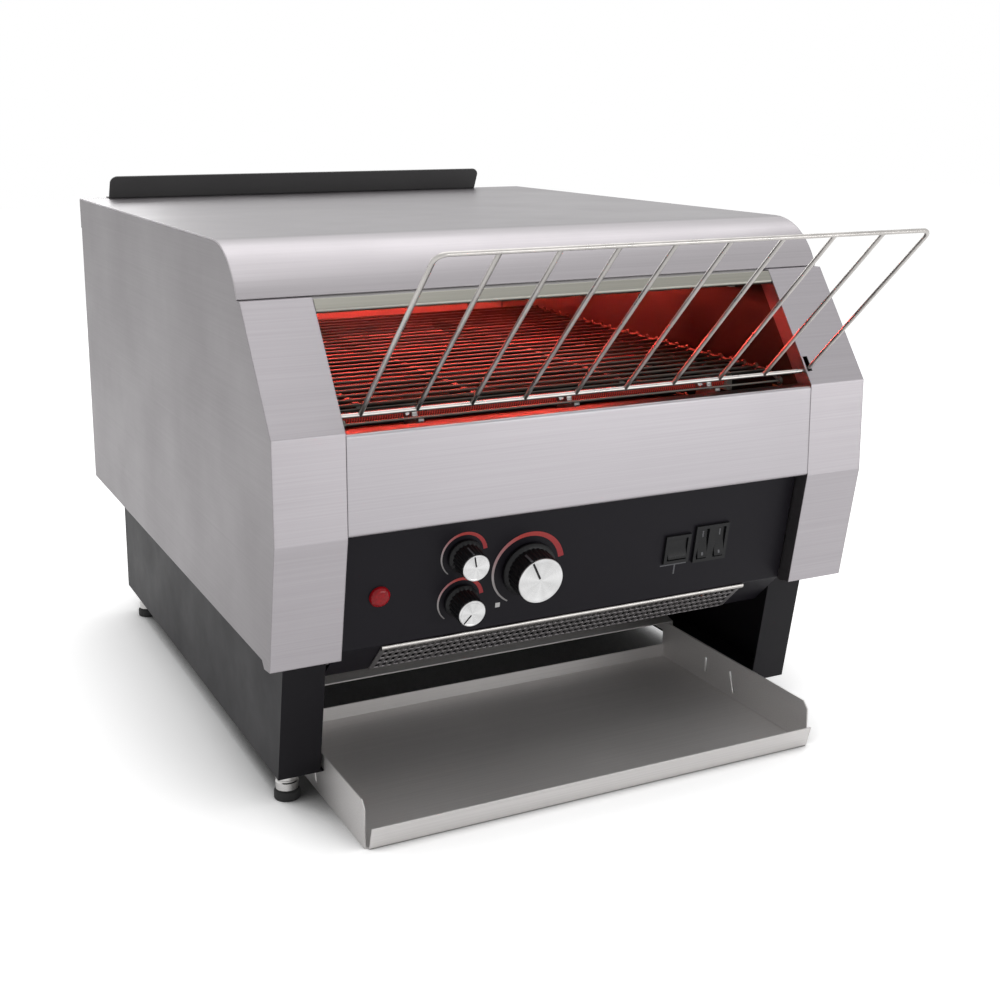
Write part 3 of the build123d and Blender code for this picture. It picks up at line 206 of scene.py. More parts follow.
def coated(name, color, rough, grain_size=0.0006, grain_depth=0.1, dust=0.03, sheen=0.5):
    """Powder-coated or moulded surface with fine orange peel and a little uneven sheen."""
    mat, nt, bsdf = tree(name)
    peel = noise(nt, coords(nt), 1 / grain_size, 2.0)
    clouds = noise(nt, coords(nt), 14.0, 4.0, 0.6)
    light = tuple(c + dust * 0.35 for c in color)
    nt.links.new(ramp(nt, clouds, [(0.3, color), (0.75, light)]), bsdf.inputs["Base Color"])
    nt.links.new(spread(nt, clouds, rough - 0.05, rough + 0.07), bsdf.inputs["Roughness"])
    bump(nt, bsdf, peel, grain_depth, 0.00006)
    bsdf.inputs["Specular IOR Level"].default_value = sheen
    return mat


def bright_wire(name, color, rough):
    """Drawn or turned metal with faint clouds in its colour and gloss."""
    mat, nt, bsdf = tree(name)
    clouds = noise(nt, coords(nt), 60.0, 3.0, 0.6)
    nt.links.new(ramp(nt, clouds, [(0.35, scaled(color, 0.82)), (0.65, color)]), bsdf.inputs["Base Color"])
    nt.links.new(spread(nt, clouds, rough - 0.06, rough + 0.08), bsdf.inputs["Roughness"])
    fine = noise(nt, coords(nt), 700.0, 2.0)
    bump(nt, bsdf, fine, 0.05, 0.00002)
    bsdf.inputs["Metallic"].default_value = 1.0
    return mat


# Painted light and shade: steel_side, steel_top and steel_front are copies of one brushed steel, each a little
# lighter or darker; their side, flat and inner colours are painted shade.
steel_side = brushed("steel_side", (0.372, 0.352, 0.370), 0.42, "x", side=(0.210, 0.197, 0.205))
steel_top = brushed("steel_top", (0.375, 0.355, 0.370), 0.38, "x", flat=(0.242, 0.229, 0.239))
steel_front = brushed("steel_front", (0.350, 0.333, 0.350), 0.38, "x", inner=(0.03, 0.03, 0.03))
# Painted light: the tray's steel is about twice as light as the other sheet and half diffuse, so that the tray
# under the machine still looks light.
steel_tray = brushed("steel_tray", (0.76, 0.74, 0.73), 0.5, "x", metallic=0.45)
steel_inner = brushed("steel_inner", (0.375, 0.364, 0.362), 0.45, "x", marks=0.1)
chute_steel = brushed("chute_steel", (0.60, 0.57, 0.56), 0.5, "x", metallic=0.6, marks=0.1)
# Painted shade: the chamber walls are near black at the front and light at the back.
wall_steel = brushed("wall_steel", (0.030, 0.033, 0.029), 0.45, "y", marks=0.08, rear=(0.34, 0.33, 0.31))
baffle_steel = brushed("baffle_steel", (0.275, 0.268, 0.238), 0.36, "x")
guard_steel = brushed("guard_steel", (0.32, 0.305, 0.31), 0.42, "x")
machined = brushed("machined_steel", (0.45, 0.44, 0.43), 0.32, "x")
black_sheet = coated("black_sheet", (0.008, 0.0072, 0.0095), 0.5, dust=0.007, sheen=0.16)
black_panel = coated("black_panel", (0.0105, 0.0092, 0.0130), 0.42, grain_size=0.0004, grain_depth=0.05,
                     dust=0.008, sheen=0.13)
dark_sheet = coated("dark_sheet", (0.085, 0.085, 0.085), 0.50)
black_plastic = coated("black_plastic", (0.007, 0.007, 0.008), 0.42, grain_size=0.0003, dust=0.008,
                       sheen=0.25)
rocker_plastic = coated("rocker_plastic", (0.005, 0.005, 0.006), 0.28, grain_size=0.0002, grain_depth=0.03,
                        dust=0.006, sheen=0.25)
white_print = coated("white_print", (0.72, 0.71, 0.70), 0.55, grain_size=0.0003, grain_depth=0.03, dust=0.0)
grey_inlay = coated("grey_inlay", (0.10, 0.10, 0.11), 0.45, grain_size=0.0003, grain_depth=0.03)
# Painted shade: a near-black matte sheet for the lower reflector, so that it gives back none of the coils' glow.
painted_shade_steel = coated("painted_shade_steel", (0.010, 0.010, 0.009), 0.65, dust=0.01, sheen=0.1)
rubber = coated("rubber", (0.02, 0.02, 0.02), 0.75, grain_size=0.0008, grain_depth=0.2)
ceramic = coated("ceramic", (0.74, 0.72, 0.66), 0.6, grain_size=0.0008, grain_depth=0.15)
cream_plastic = coated("cream_plastic", (0.62, 0.59, 0.50), 0.45)
bronze = brushed("bronze", (0.55, 0.37, 0.17), 0.40, "x")
cast_metal = coated("cast_metal", (0.30, 0.30, 0.31), 0.5, grain_size=0.0012, grain_depth=0.3)
rack_wire = bright_wire("rack_wire", (0.52, 0.50, 0.48), 0.30)
belt_wire = bright_wire("belt_wire", (0.13, 0.125, 0.112), 0.40)
turned_metal = bright_wire("turned_metal", (0.62, 0.61, 0.60), 0.24)


def spun_cap_material():
    """Turned aluminium with rings cut round each cap's centre by the radial coordinate of its UV map, and lighter
    wedges round it as painted highlights.
    """
    mat, nt, bsdf = tree("spun_cap")
    place = uv(nt)
    from_centre = nt.nodes.new("ShaderNodeCombineXYZ")
    nt.links.new(place["Y"], from_centre.inputs["X"])
    rings = noise(nt, from_centre.outputs["Vector"], 160.0, 2.0)
    # Painted highlights: lighter wedges round the cap, up to 0.86 grey.
    around = nt.nodes.new("ShaderNodeCombineXYZ")
    nt.links.new(place["X"], around.inputs["X"])
    painted_highlight_sectors = noise(nt, around.outputs["Vector"], 7.0, 1.0)
    base = ramp(nt, rings, [(0.3, grey(0.46)), (0.7, grey(0.60))])
    nt.links.new(mixed(nt, spread(nt, painted_highlight_sectors, 0.0, 0.5), base, grey(0.86)), bsdf.inputs["Base Color"])
    nt.links.new(spread(nt, rings, 0.22, 0.38), bsdf.inputs["Roughness"])
    bump(nt, bsdf, rings, 0.3, 0.00005)
    bsdf.inputs["Metallic"].default_value = 1.0
    return mat


spun_cap = spun_cap_material()


def lens_material():
    """Dark red moulded lens, unlit, with a faint painted glow."""
    mat, nt, bsdf = tree("red_lens")
    clouds = noise(nt, coords(nt), 400.0, 2.0)
    red = ramp(nt, clouds, [(0.3, (0.26, 0.002, 0.006)), (0.7, (0.40, 0.004, 0.010))])
    nt.links.new(red, bsdf.inputs["Base Color"])
    nt.links.new(spread(nt, clouds, 0.10, 0.22), bsdf.inputs["Roughness"])
    bsdf.inputs["Specular IOR Level"].default_value = 0.25
    # Painted glow: a faint red emission on the unlit lens.
    bsdf.inputs["Emission Color"].default_value = (0.6, 0.01, 0.02, 1)
    bsdf.inputs["Emission Strength"].default_value = 0.04
    return mat


def coil_material(name, strength):
    """Heating coil in a quartz tube: bright turns with darker gaps."""
    mat, nt, bsdf = tree(name)
    wave = nt.nodes.new("ShaderNodeTexWave")
    wave.inputs["Scale"].default_value = 160.0
    wave.inputs["Distortion"].default_value = 0.6
    nt.links.new(coords(nt, (1, 0.2, 0.2)), wave.inputs["Vector"])
    col = ramp(nt, wave.outputs["Fac"], [(0.2, (0.22, 0.007, 0.005)), (0.8, (0.95, 0.095, 0.065))])
    nt.links.new(col, bsdf.inputs["Base Color"])
    nt.links.new(col, bsdf.inputs["Emission Color"])
    nt.links.new(spread(nt, wave.outputs["Fac"], 0.35, 0.6), bsdf.inputs["Roughness"])
    bsdf.inputs["Emission Strength"].default_value = strength
    return mat


def quartz_material():
    mat, nt, bsdf = tree("quartz")
    clouds = noise(nt, coords(nt), 80.0, 3.0)
    tint = ramp(nt, clouds, [(0.3, (0.93, 0.88, 0.84)), (0.7, (1.0, 0.97, 0.94))])
    nt.links.new(tint, bsdf.inputs["Base Color"])
    nt.links.new(spread(nt, clouds, 0.08, 0.22), bsdf.inputs["Roughness"])
    bsdf.inputs["Transmission Weight"].default_value = 0.9
    bsdf.inputs["IOR"].default_value = 1.45
    return mat


red_lens = lens_material()
hot_coil = coil_material("hot_coil", 75.0)
warm_coil = coil_material("warm_coil", 2.0)
idle_coil = coil_material("idle_coil", 0.15)
quartz = quartz_material()


def dress(material, *names):
    """Gives CAD nodes a better material."""
    for n in names:
        o = nodes[n]
        o.data.materials.clear()
        o.data.materials.append(material)


dress(steel_side, "side_panel_left", "side_panel_right")
dress(steel_top, "top_cover")
dress(steel_front, "front_panel")
dress(steel_tray, "collector_tray", "discharge_ramp")
dress(wall_steel, "chamber_wall_left", "chamber_wall_right")
# The lower reflector is painted near black, as painted shade.
dress(painted_shade_steel, "lower_reflector")
dress(steel_inner, "upper_reflector", "back_panel", "chassis_pan", "motor_bracket")
dress(chute_steel, "toast_chute")
dress(baffle_steel, "feed_baffle")
dress(black_sheet, "base_side_left", "base_side_right", "base_rear_panel")
dress(black_panel, "control_panel")
dress(dark_sheet, "rear_deflector")
dress(guard_steel, "perforated_guard")
dress(rack_wire, "feed_rack", "fan_guard")
dress(belt_wire, "conveyor_belt", "belt_rails")
dress(black_plastic, "speed_knob", "upper_heat_knob", "lower_heat_knob", "switch_frames", "control_bodies",
      "cord_gland", "fan_frame", "fan_rotor")
dress(rocker_plastic, "power_rocker", "mode_rocker_left", "mode_rocker_right")
dress(turned_metal, "speed_cap", "upper_heat_cap", "lower_heat_cap", "foot_barrels", "speed_shaft",
      "upper_heat_shaft", "lower_heat_shaft", "panel_screws")
dress(red_lens, "indicator_lamp")
dress(rubber, "foot_pads")
dress(hot_coil, "upper_elements", "lower_elements")
dress(ceramic, "element_bushings")
dress(machined, "drive_shaft", "belt_sprockets_rear", "idler_shaft", "belt_sprockets_front",
      "motor_sprocket", "chain_sprocket", "drive_chain")
dress(bronze, "shaft_bearings")
dress(cast_metal, "gear_motor")
dress(cream_plastic, "terminal_block")


# ---------------------------------------------------------------- mesh helpers
def mesh_object(name, verts, faces, material, body, smooth=False, uvs=None):
    me = bpy.data.meshes.new(name)
    me.from_pydata([tuple(v) for v in verts], [], faces)
    me.validate()
    me.update()
    if uvs is not None:
        layer = me.uv_layers.new(name="UVMap")
        for loop in me.loops:
            layer.data[loop.index].uv = uvs[loop.vertex_index]
    if smooth:
        for p in me.polygons:
            p.use_smooth = True
    o = bpy.data.objects.new(name, me)
    bpy.context.scene.collection.objects.link(o)
    me.materials.append(material)
    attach(o, body)
    return o


def sharpen(o, angle=35):
    o.data.set_sharp_from_angle(angle=radians(angle))


# ---------------------------------------------------------------- places
# In mm from the CAD's named values, apart from PANEL, the panel's upper edge, which is in metres.
BAND = -241.2  # face of the upright front band, along Y
FOLD_LOW = 211.0  # height of the fold below it
TILT = radians(11.3)  # of the control panel, from the vertical
SETBACK = 12.5  # of the panel behind the band
PANEL_LENGTH = 93.0
PANEL = Vector((0, BAND + SETBACK * cos(TILT), FOLD_LOW + SETBACK * sin(TILT))) * MM
PX, PY, PN = Vector((1, 0, 0)), Vector((0, -sin(TILT), cos(TILT))), Vector((0, -cos(TILT), -sin(TILT)))
UP, AHEAD = Vector((0, 0, 1)), Vector((0, 1, 0))
SPEED, UPPER_HEAT, LOWER_HEAT = (-42.0, -49.6), (-93.3, -31.6), (-93.3, -66.8)  # knobs on the panel
ON_SHEET = 0.06  # print, out from the sheet


def on_panel(x, y, out=0.0):
    """Point at x and y on the panel, out from it, in metres."""
    return PANEL + (PX * x + PY * y + PN * out) * MM


def lathe(name, centre, axis, up, profile, segments, material, body, flutes=0, depth=0.0, sharp=35):
    """Turned piece about an axis: profile is (radius, height, fluted) in mm."""
    axis, up = axis.normalized(), up.normalized()
    side = up.cross(axis).normalized()
    verts, faces, uvs = [], [], []
    for r, h, fluted in profile:
        for k in range(segments):
            a = 2 * pi * k / segments
            rr = r - (depth * (0.5 - 0.5 * cos(flutes * a)) ** 1.5 if fluted else 0)
            verts.append(centre + (axis * h + (up * cos(a) + side * sin(a)) * rr) * MM)
            uvs.append((k / segments, r * MM * 20))
    for i in range(len(profile) - 1):
        for k in range(segments):
            a, b = i * segments + k, i * segments + (k + 1) % segments
            faces.append((a, a + segments, b + segments, b))
    if profile[0][0] > 0:
        faces.append(tuple(range(segments)))
    if profile[-1][0] > 0:
        faces.append(tuple(reversed([(len(profile) - 1) * segments + k for k in range(segments)])))
    o = mesh_object(name, verts, faces, material, body, smooth=True, uvs=uvs)
    sharpen(o, sharp)
    return o


def wires(name, paths, radius, material, body, cyclic=False, resolution=3):
    """Round wires along straight-sided paths, in metres."""
    cu = bpy.data.curves.new(name, "CURVE")
    cu.dimensions = "3D"
    cu.bevel_depth = radius
    cu.bevel_resolution = resolution
    cu.use_fill_caps = True
    for path in paths:
        sp = cu.splines.new("POLY")
        sp.points.add(len(path) - 1)
        for p, q in zip(sp.points, path):
            p.co = (*q, 1)
        sp.use_cyclic_u = cyclic
    tmp = bpy.data.objects.new(name, cu)
    bpy.context.scene.collection.objects.link(tmp)
    bpy.context.view_layer.update()
    me = bpy.data.meshes.new_from_object(tmp)
    bpy.data.objects.remove(tmp)
    bpy.data.curves.remove(cu)
    me.name = name
    for p in me.polygons:
        p.use_smooth = True
    me.materials.clear()
    me.materials.append(material)
    o = bpy.data.objects.new(name, me)
    bpy.context.scene.collection.objects.link(o)
    sharpen(o, 50)
    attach(o, body)
    return o


def rounded(points, radius, steps=6):
    """Points of a path with its inner corners rounded."""
    out = [points[0]]
    for i in range(1, len(points) - 1):
        p, a, b = points[i], points[i - 1], points[i + 1]
        u, v = (a - p).normalized(), (b - p).normalized()
        half = u.angle(v) / 2
        d = radius / (sin(half) / cos(half))
        s, e = p + u * d, p + v * d
        c = p + (u + v).normalized() * (radius / sin(half))
        for k in range(steps + 1):
            t = k / steps
            out.append(c + (s - c).slerp(e - c, t).normalized() * radius)
    out.append(points[-1])
    return out


# ---------------------------------------------------------------- feed rack
RACK_FOOT = Vector((0, BAND + 10.6, 290.0)) * MM
RACK_HEAD = Vector((0, BAND - 112.5, 404.5)) * MM
LEFT, RIGHT, WIRE = -170.5 * MM, 188.0 * MM, 1.6 * MM
PIVOT_END = -186.9 * MM
GAPS = 9
step = (RIGHT - LEFT) / GAPS


def rack_at(x, t):
    return RACK_FOOT.lerp(RACK_HEAD, t) + Vector((x, 0, 0))


paths = [rounded([rack_at(LEFT, 0), rack_at(LEFT, 1), rack_at(RIGHT, 1), rack_at(RIGHT, 0)], 0.007)]
paths += [[rack_at(LEFT + step * k, 0), rack_at(LEFT + step * k, 1)] for k in range(1, GAPS)]
paths.append([Vector((PIVOT_END, *RACK_FOOT[1:])), Vector((RIGHT + WIRE, *RACK_FOOT[1:]))])
rack = wires("rack_wires", paths, WIRE, rack_wire, "rack", resolution=3)
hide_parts("feed_rack")


# ---------------------------------------------------------------- knobs
def knob(name, body, at, skirt, grip, cap, flutes, turn):
    """Fluted knob with a turned face and a pointer at turn degrees: radii in mm, at is its place on the panel."""
    centre = on_panel(*at)
    h = 20.5  # height over the panel
    piece = lathe(name + "_grip", centre, PN, PY,
                  [(skirt - 0.6, 0.6, 0), (skirt, 1.4, 0), (skirt, 3.2, 0), (skirt - 1.2, 4.4, 0), (grip, 5.0, 1),
                   (grip, 5.6, 1), (grip - 0.35, 15.0, 1), (grip - 0.5, h - 1.8, 1), (grip - 1.1, h - 1.2, 0),
                   (cap, h - 1.2, 0)],
                  192, black_plastic, body, flutes=flutes, depth=0.7)
    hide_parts(name)
    top = lathe(name + "_face", centre, PN, PY,
                [(cap, h - 1.4, 0), (cap, h - 0.45, 0), (cap - 0.4, h - 0.06, 0), (cap - 0.9, h - 0.02, 0),
                 (cap * 0.86, h - 0.02, 0), (cap * 0.84, h - 0.12, 0), (cap * 0.5, h - 0.12, 0),
                 (0.4, h - 0.12, 0), (0.0001, h - 0.12, 0)],
                96, spun_cap, body, sharp=25)
    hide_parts(name.replace("knob", "cap"))
    # Pointer: a dark inlaid line from near the centre to the edge of the face, going on down the grip.
    a = radians(turn)
    outward, across = Vector((-sin(a), cos(a))), Vector((cos(a), sin(a)))
    half = 0.55 if cap < 12 else 0.8

    def at_polar(r, off, out):
        p = Vector(at) + outward * r + across * off
        return on_panel(p.x, p.y, out)

    verts = []
    runs = [(cap * 0.12, h - 0.04), (cap - 0.7, h), (cap, h - 0.45), (grip - 0.3, h - 1.2),
            (grip + 0.02, h - 1.9), (grip + 0.05, 9.0)]
    for r, out in runs:
        verts += [at_polar(r, -half, out), at_polar(r, half, out)]
    strips = [(2 * i, 2 * i + 1, 2 * i + 3, 2 * i + 2) for i in range(len(runs) - 1)]
    mesh_object(name + "_pointer", verts, strips[:2], rocker_plastic, body)
    mesh_object(name + "_pointer_line", verts, strips[3:], grey_inlay, body)


knob("speed_knob", "speed_control", SPEED, 20.5, 18.0, 17.2, 30, 27)
knob("upper_heat_knob", "upper_heat_control", UPPER_HEAT, 12.5, 10.8, 9.9, 20, 13)
knob("lower_heat_knob", "lower_heat_control", LOWER_HEAT, 12.5, 10.8, 9.9, 20, 140)


# Printed rings round the knobs: a wedge that widens and reddens as it goes clockwise from the lower left.
def ring_material():
    mat, nt, bsdf = tree("ring_print")
    ink = noise(nt, coords(nt), 900.0, 2.0)
    shade = ramp(nt, uv(nt)["X"], [(0.0, (0.30, 0.29, 0.29)), (0.22, (0.62, 0.58, 0.58)),
                                   (0.40, (0.52, 0.26, 0.27)), (0.58, (0.56, 0.055, 0.045)),
                                   (1.0, (0.44, 0.022, 0.030))])
    nt.links.new(mixed(nt, spread(nt, ink, 0.0, 0.12), shade, (0.05, 0.02, 0.02)), bsdf.inputs["Base Color"])
    nt.links.new(spread(nt, ink, 0.45, 0.6), bsdf.inputs["Roughness"])
    return mat


ring_print = ring_material()


def ring(name, at, radius, wide, start, end):
    """Printed ring, from start to end degrees clockwise from the top."""
    steps = 72
    verts, faces, uvs = [], [], []
    for k in range(steps + 1):
        t = k / steps
        a = radians(start + (end - start) * t)
        w = wide * (0.24 + 0.76 * t)
        for r in (radius - w, radius):
            verts.append(on_panel(at[0] + r * sin(a), at[1] + r * cos(a), ON_SHEET))
            uvs.append((t, 0.5))
        if k:
            faces.append((2 * k - 2, 2 * k - 1, 2 * k + 1, 2 * k))
    mesh_object(name, verts, faces, ring_print, "chassis", uvs=uvs)


ring("speed_ring", SPEED, 28.6, 4.4, -150, 78)
ring("upper_ring", UPPER_HEAT, 17.7, 3.0, -140, 80)
ring("lower_ring", LOWER_HEAT, 17.7, 3.0, -140, 80)

CORNERS = ((-1, -1), (1, -1), (1, 1), (-1, 1))


def mark(name, cx, cy, w, h, material):
    verts = [on_panel(cx + sx * w / 2, cy + sy * h / 2, ON_SHEET) for sx, sy in CORNERS]
    mesh_object(name, verts, [(0, 1, 2, 3)], material, "chassis")


mark("square_mark", -63.5, -76.0, 3.6, 3.6, white_print)
mark("bracket_bar", 82.0, -66.2, 23.0, 1.0, grey_inlay)
mark("bracket_stem", 83.5, -70.6, 1.2, 7.8, grey_inlay)


# ---------------------------------------------------------------- lamp
lathe("lamp_lens", on_panel(-154.6, -53.8), PN, PY,
      [(7.5, 0.0, 0), (7.5, 1.4, 0), (7.0, 2.0, 0), (6.3, 2.9, 0), (4.9, 3.6, 0), (2.6, 3.95, 0),
       (0.0001, 4.0, 0)],
      40, red_lens, "chassis", sharp=60)
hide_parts("indicator_lamp")


# ---------------------------------------------------------------- guard
CHIN = radians(43.5)
chin_top = Vector((0, PANEL.y / MM + PANEL_LENGTH * sin(TILT), PANEL.z / MM - PANEL_LENGTH * cos(TILT)))
CN = Vector((0, -sin(CHIN), -cos(CHIN)))
CY = Vector((0, -cos(CHIN), sin(CHIN)))


def on_chin(x, down, out):
    """Point on the sloping chin below the panel: mm in, metres out."""
    return (chin_top + PX * x - CY * down + CN * out) * MM


def perforated():
    """Sheet with rows of slots, made as a grid whose odd cells are holes, and its rolled top edge."""
    width, height, pitch, hole = 301.0, 37.5, 5.0, 3.2
    rows, row_pitch, slot_height, first, top = 4, 8.0, 5.4, 9.6, 3.2
    under, over = 0.3, 1.3  # the sheet's two faces, out from the chin
    cols = int(width // pitch) - 1
    xs = [-width / 2]
    for k in range(cols):
        c = (k - (cols - 1) / 2) * pitch
        xs += [c - hole / 2, c + hole / 2]
    xs.append(width / 2)
    ys = [top]
    for k in range(rows):
        c = first + k * row_pitch
        ys += [c - slot_height / 2, c + slot_height / 2]
    ys.append(height)
    n = len(xs)
    verts = [on_chin(x, y, out) for out in (under, over) for y in ys for x in xs]
    m = n * len(ys)

    def solid(i, j):
        return 0 <= i < n - 1 and 0 <= j < len(ys) - 1 and not (i % 2 == 1 and j % 2 == 1)

    faces = []
    for j in range(len(ys) - 1):
        for i in range(n - 1):
            if not solid(i, j):
                continue
            a, b, c, d = j * n + i, j * n + i + 1, (j + 1) * n + i + 1, (j + 1) * n + i
            faces += [(a, b, c, d), (m + a, m + d, m + c, m + b)]
            edges = ((a, b, i, j - 1), (b, c, i + 1, j), (c, d, i, j + 1), (d, a, i - 1, j))
            faces += [(p, m + p, m + q, q) for p, q, beside, below in edges if not solid(beside, below)]
    plate = mesh_object("guard_plate", verts, faces, guard_steel, "chassis")
    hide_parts("perforated_guard")
    hem_profile = [(0.3, 4.8), (1.3, 4.8), (2.0, 4.9), (2.5, 4.2), (2.7, 2.6), (2.5, 1.0), (1.8, 0.2), (0.9, 0.0),
                   (0.3, 0.4)]
    verts = [on_chin(side * width / 2, y, out) for side in (-1, 1) for out, y in hem_profile]
    k = len(hem_profile)
    faces = [(i, (i + 1) % k, k + (i + 1) % k, k + i) for i in range(k)]
    faces += [tuple(range(k)), tuple(range(2 * k - 1, k - 1, -1))]
    hem = mesh_object("guard_hem", verts, faces, rack_wire, "chassis", smooth=True)
    sharpen(hem, 60)


perforated()


# ---------------------------------------------------------------- feet
BARREL = [(7.4, 7.0, 0), (8.2, 7.8, 0), (8.2, 13.0, 0), (7.4, 13.8, 0), (7.4, 14.8, 0), (8.2, 15.6, 0),
          (8.2, 21.6, 0), (7.6, 22.5, 0)]
PAD = [(8.6, 0.0, 0), (9.5, 0.9, 0), (9.5, 5.6, 0), (8.9, 6.6, 0), (8.0, 7.0, 0)]
for across, x in (("left", -205.0), ("right", 205.0)):
    for along, y in (("front", 80.9), ("rear", 505.8)):
        c = Vector((x, BAND + y, 0)) * MM
        tag = f"{across}_{along}"
        b = lathe("foot_" + tag, c, UP, AHEAD, BARREL, 48, turned_metal, "chassis")
        p = lathe("pad_" + tag, c, UP, AHEAD, PAD, 48, rubber, "chassis")
        if tag == "left_front":
            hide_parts("foot_barrels")
            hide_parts("foot_pads")


# ---------------------------------------------------------------- rockers
def rocker_piece(name, node, body, at, opening, marks):
    """Rocker with a hollowed face, tipped to its off side: marks are (x, y, width, height) on its face."""
    w, reach = opening[0] / 2 - 0.4, opening[1] / 2 - 0.8
    tip = radians(8.0)  # half of its travel
    pivot = on_panel(at[0], at[1], -1.0)
    ry = PY * cos(tip) - PN * sin(tip)
    rn = PN * cos(tip) + PY * sin(tip)

    def pt(x, y, out):
        return pivot + (PX * x + ry * y + rn * out) * MM

    def face(t, base=2.1):
        return base + 1.1 * abs(t) ** 1.6

    n = 14
    profile = [(reach * t, face(t)) for t in (-1 + 2 * k / n for k in range(n + 1))]
    profile[0] = (profile[0][0] + 0.25, profile[0][1] - 0.3)
    profile[-1] = (profile[-1][0] - 0.25, profile[-1][1] - 0.3)
    outline = [(-reach, 2.2), *profile, (reach, 2.2), (reach * 0.8, -8.0), (-reach * 0.8, -8.0)]
    k = len(outline)
    verts = [pt(side * w, y, out) for side in (-1, 1) for y, out in outline]
    faces = [(i, k + i, k + (i + 1) % k, (i + 1) % k) for i in range(k)]
    faces += [tuple(reversed(range(k))), tuple(range(k, 2 * k))]
    o = mesh_object(name, verts, faces, rocker_plastic, body, smooth=True)
    sharpen(o, 40)
    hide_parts(node)
    for i, (cx, cy, mw, mh) in enumerate(marks):
        corners = [(cx + sx * mw / 2, cy + sy * mh / 2) for sx, sy in CORNERS]
        verts = [pt(x, y, face(y / reach, 2.13)) for x, y in corners]
        mesh_object(f"{name}_mark{i}", verts, [(0, 1, 2, 3)], grey_inlay, body)


rocker_piece("power_key", "power_rocker", "power_switch", (83.0, -52.8), (16.6, 18.0), [])
for tag, x in (("left", 105.2), ("right", 120.2)):
    rocker_piece("mode_key_" + tag, "mode_rocker_" + tag, "mode_switch_" + tag, (x, -51.5), (9.0, 25.0),
                 [(0, 7.4, 1.1, 5.0), (0, -8.4, 1.6, 2.4)])


# ---------------------------------------------------------------- belt
def belt():
    """Cross wires round two shafts: both ends of each run back and curl round the wire behind it."""
    pitch, radius, wire, strands, half = 15.875, 20.21, 1.2, 58, 176.0
    eye, short = 2.5, 2.6  # radius of the curl, and how far before the next wire it starts
    front, rear, z = BAND + 42.0, BAND + 438.875, 266.0
    run, turn = 25 * pitch, 4 * pitch
    mid = Vector((0, (front + rear) / 2, z))

    def loop(s):
        s %= 2 * (run + turn)
        if s < run:
            return Vector((0, front + s, z + radius))
        if s < run + turn:
            a = (s - run) / radius
            return Vector((0, rear + radius * sin(a), z + radius * cos(a)))
        if s < 2 * run + turn:
            return Vector((0, rear - (s - run - turn), z - radius))
        a = (s - 2 * run - turn) / radius
        return Vector((0, front - radius * sin(a), z - radius * cos(a)))

    paths = []
    for i in range(strands):
        here, behind = loop(i * pitch), loop((i - 1) * pitch)
        along = (behind - here).normalized()
        inward = Vector((0, -along.z, along.y))
        if inward.dot(mid - here) < 0:
            inward = -inward
        leg = [here, here + along * (pitch - short)]
        for a in (pi * 1.25 * k / 6 for k in range(7)):
            leg.append(behind + along * sin(a) * eye + inward * cos(a) * eye * 0.9)
        end = Vector((half, 0, 0))
        path = [p - end for p in reversed(leg)] + [p + end for p in leg]
        paths.append([p * MM for p in path])
    o = wires("belt_wires", paths, wire * MM, belt_wire, "chassis", resolution=1)
    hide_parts("conveyor_belt")


belt()


# ---------------------------------------------------------------- elements
def tube(name, y, z, coil):
    """Coil in a glass tube, across the chamber."""
    length = 366.0
    c = Vector((-length / 2, BAND + y, z)) * MM
    for tag, r, segments, material in (("_coil", 3.2, 16, coil), ("", 4.9, 24, quartz)):
        lathe(name + tag, c, PX, UP, [(r, 0, 0), (r, length, 0)], segments, material, "chassis")


for k, (y, coil) in enumerate(((110.0, warm_coil), (205.0, warm_coil), (300.0, hot_coil), (395.0, hot_coil))):
    tube(f"upper_tube_{k}", y, 350.0, coil)
for k, y in enumerate((110.0, 230.0, 350.0)):
    tube(f"lower_tube_{k}", y, 266.0, idle_coil)
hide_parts("upper_elements")
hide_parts("lower_elements")


# ---------------------------------------------------------------- fan guard on the back
def circle_path(c, r, n=48):
    return [c + (PX * cos(2 * pi * k / n) + UP * sin(2 * pi * k / n)) * r for k in range(n)]


fan_centre = Vector((-120.0, BAND + 584.5, 250.0)) * MM
circles = [circle_path(fan_centre, r * MM) for r in (14.0, 29.0, 44.0, 57.0)]
g = wires("fan_guard_rings", circles, 0.9 * MM, rack_wire, "chassis", cyclic=True, resolution=2)
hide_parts("fan_guard")
arms = []
arm_centre = fan_centre + Vector((0, 0.0012, 0))
for side in (1, -1):
    d = Vector((cos(radians(45)) * side, 0, sin(radians(45)))) * 0.058
    arms.append([arm_centre - d, arm_centre + d])
wires("fan_guard_arms", arms, 1.0 * MM, rack_wire, "chassis", resolution=2)

# ---------------------------------------------------------------- stage, lights, camera
floor = bpy.data.meshes.new("floor")
floor.from_pydata([(-6, -6, 0), (6, -6, 0), (6, 6, 0), (-6, 6, 0)], [], [(0, 1, 2, 3)])
floor_obj = bpy.data.objects.new("floor", floor)
bpy.context.scene.collection.objects.link(floor_obj)


def ray_flag(nt):
    """1 for what the camera sees, by itself or in metal or glass, and 0 for what lights the object."""
    lp = nt.nodes.new("ShaderNodeLightPath")
    seen = lp.outputs["Is Camera Ray"]
    for other in ("Is Glossy Ray", "Is Transmission Ray"):
        seen = calc(nt, "MAXIMUM", seen, lp.outputs[other])
    return seen


def emptied(owner):
    owner.use_nodes = True
    owner.node_tree.nodes.clear()
    return owner.node_tree


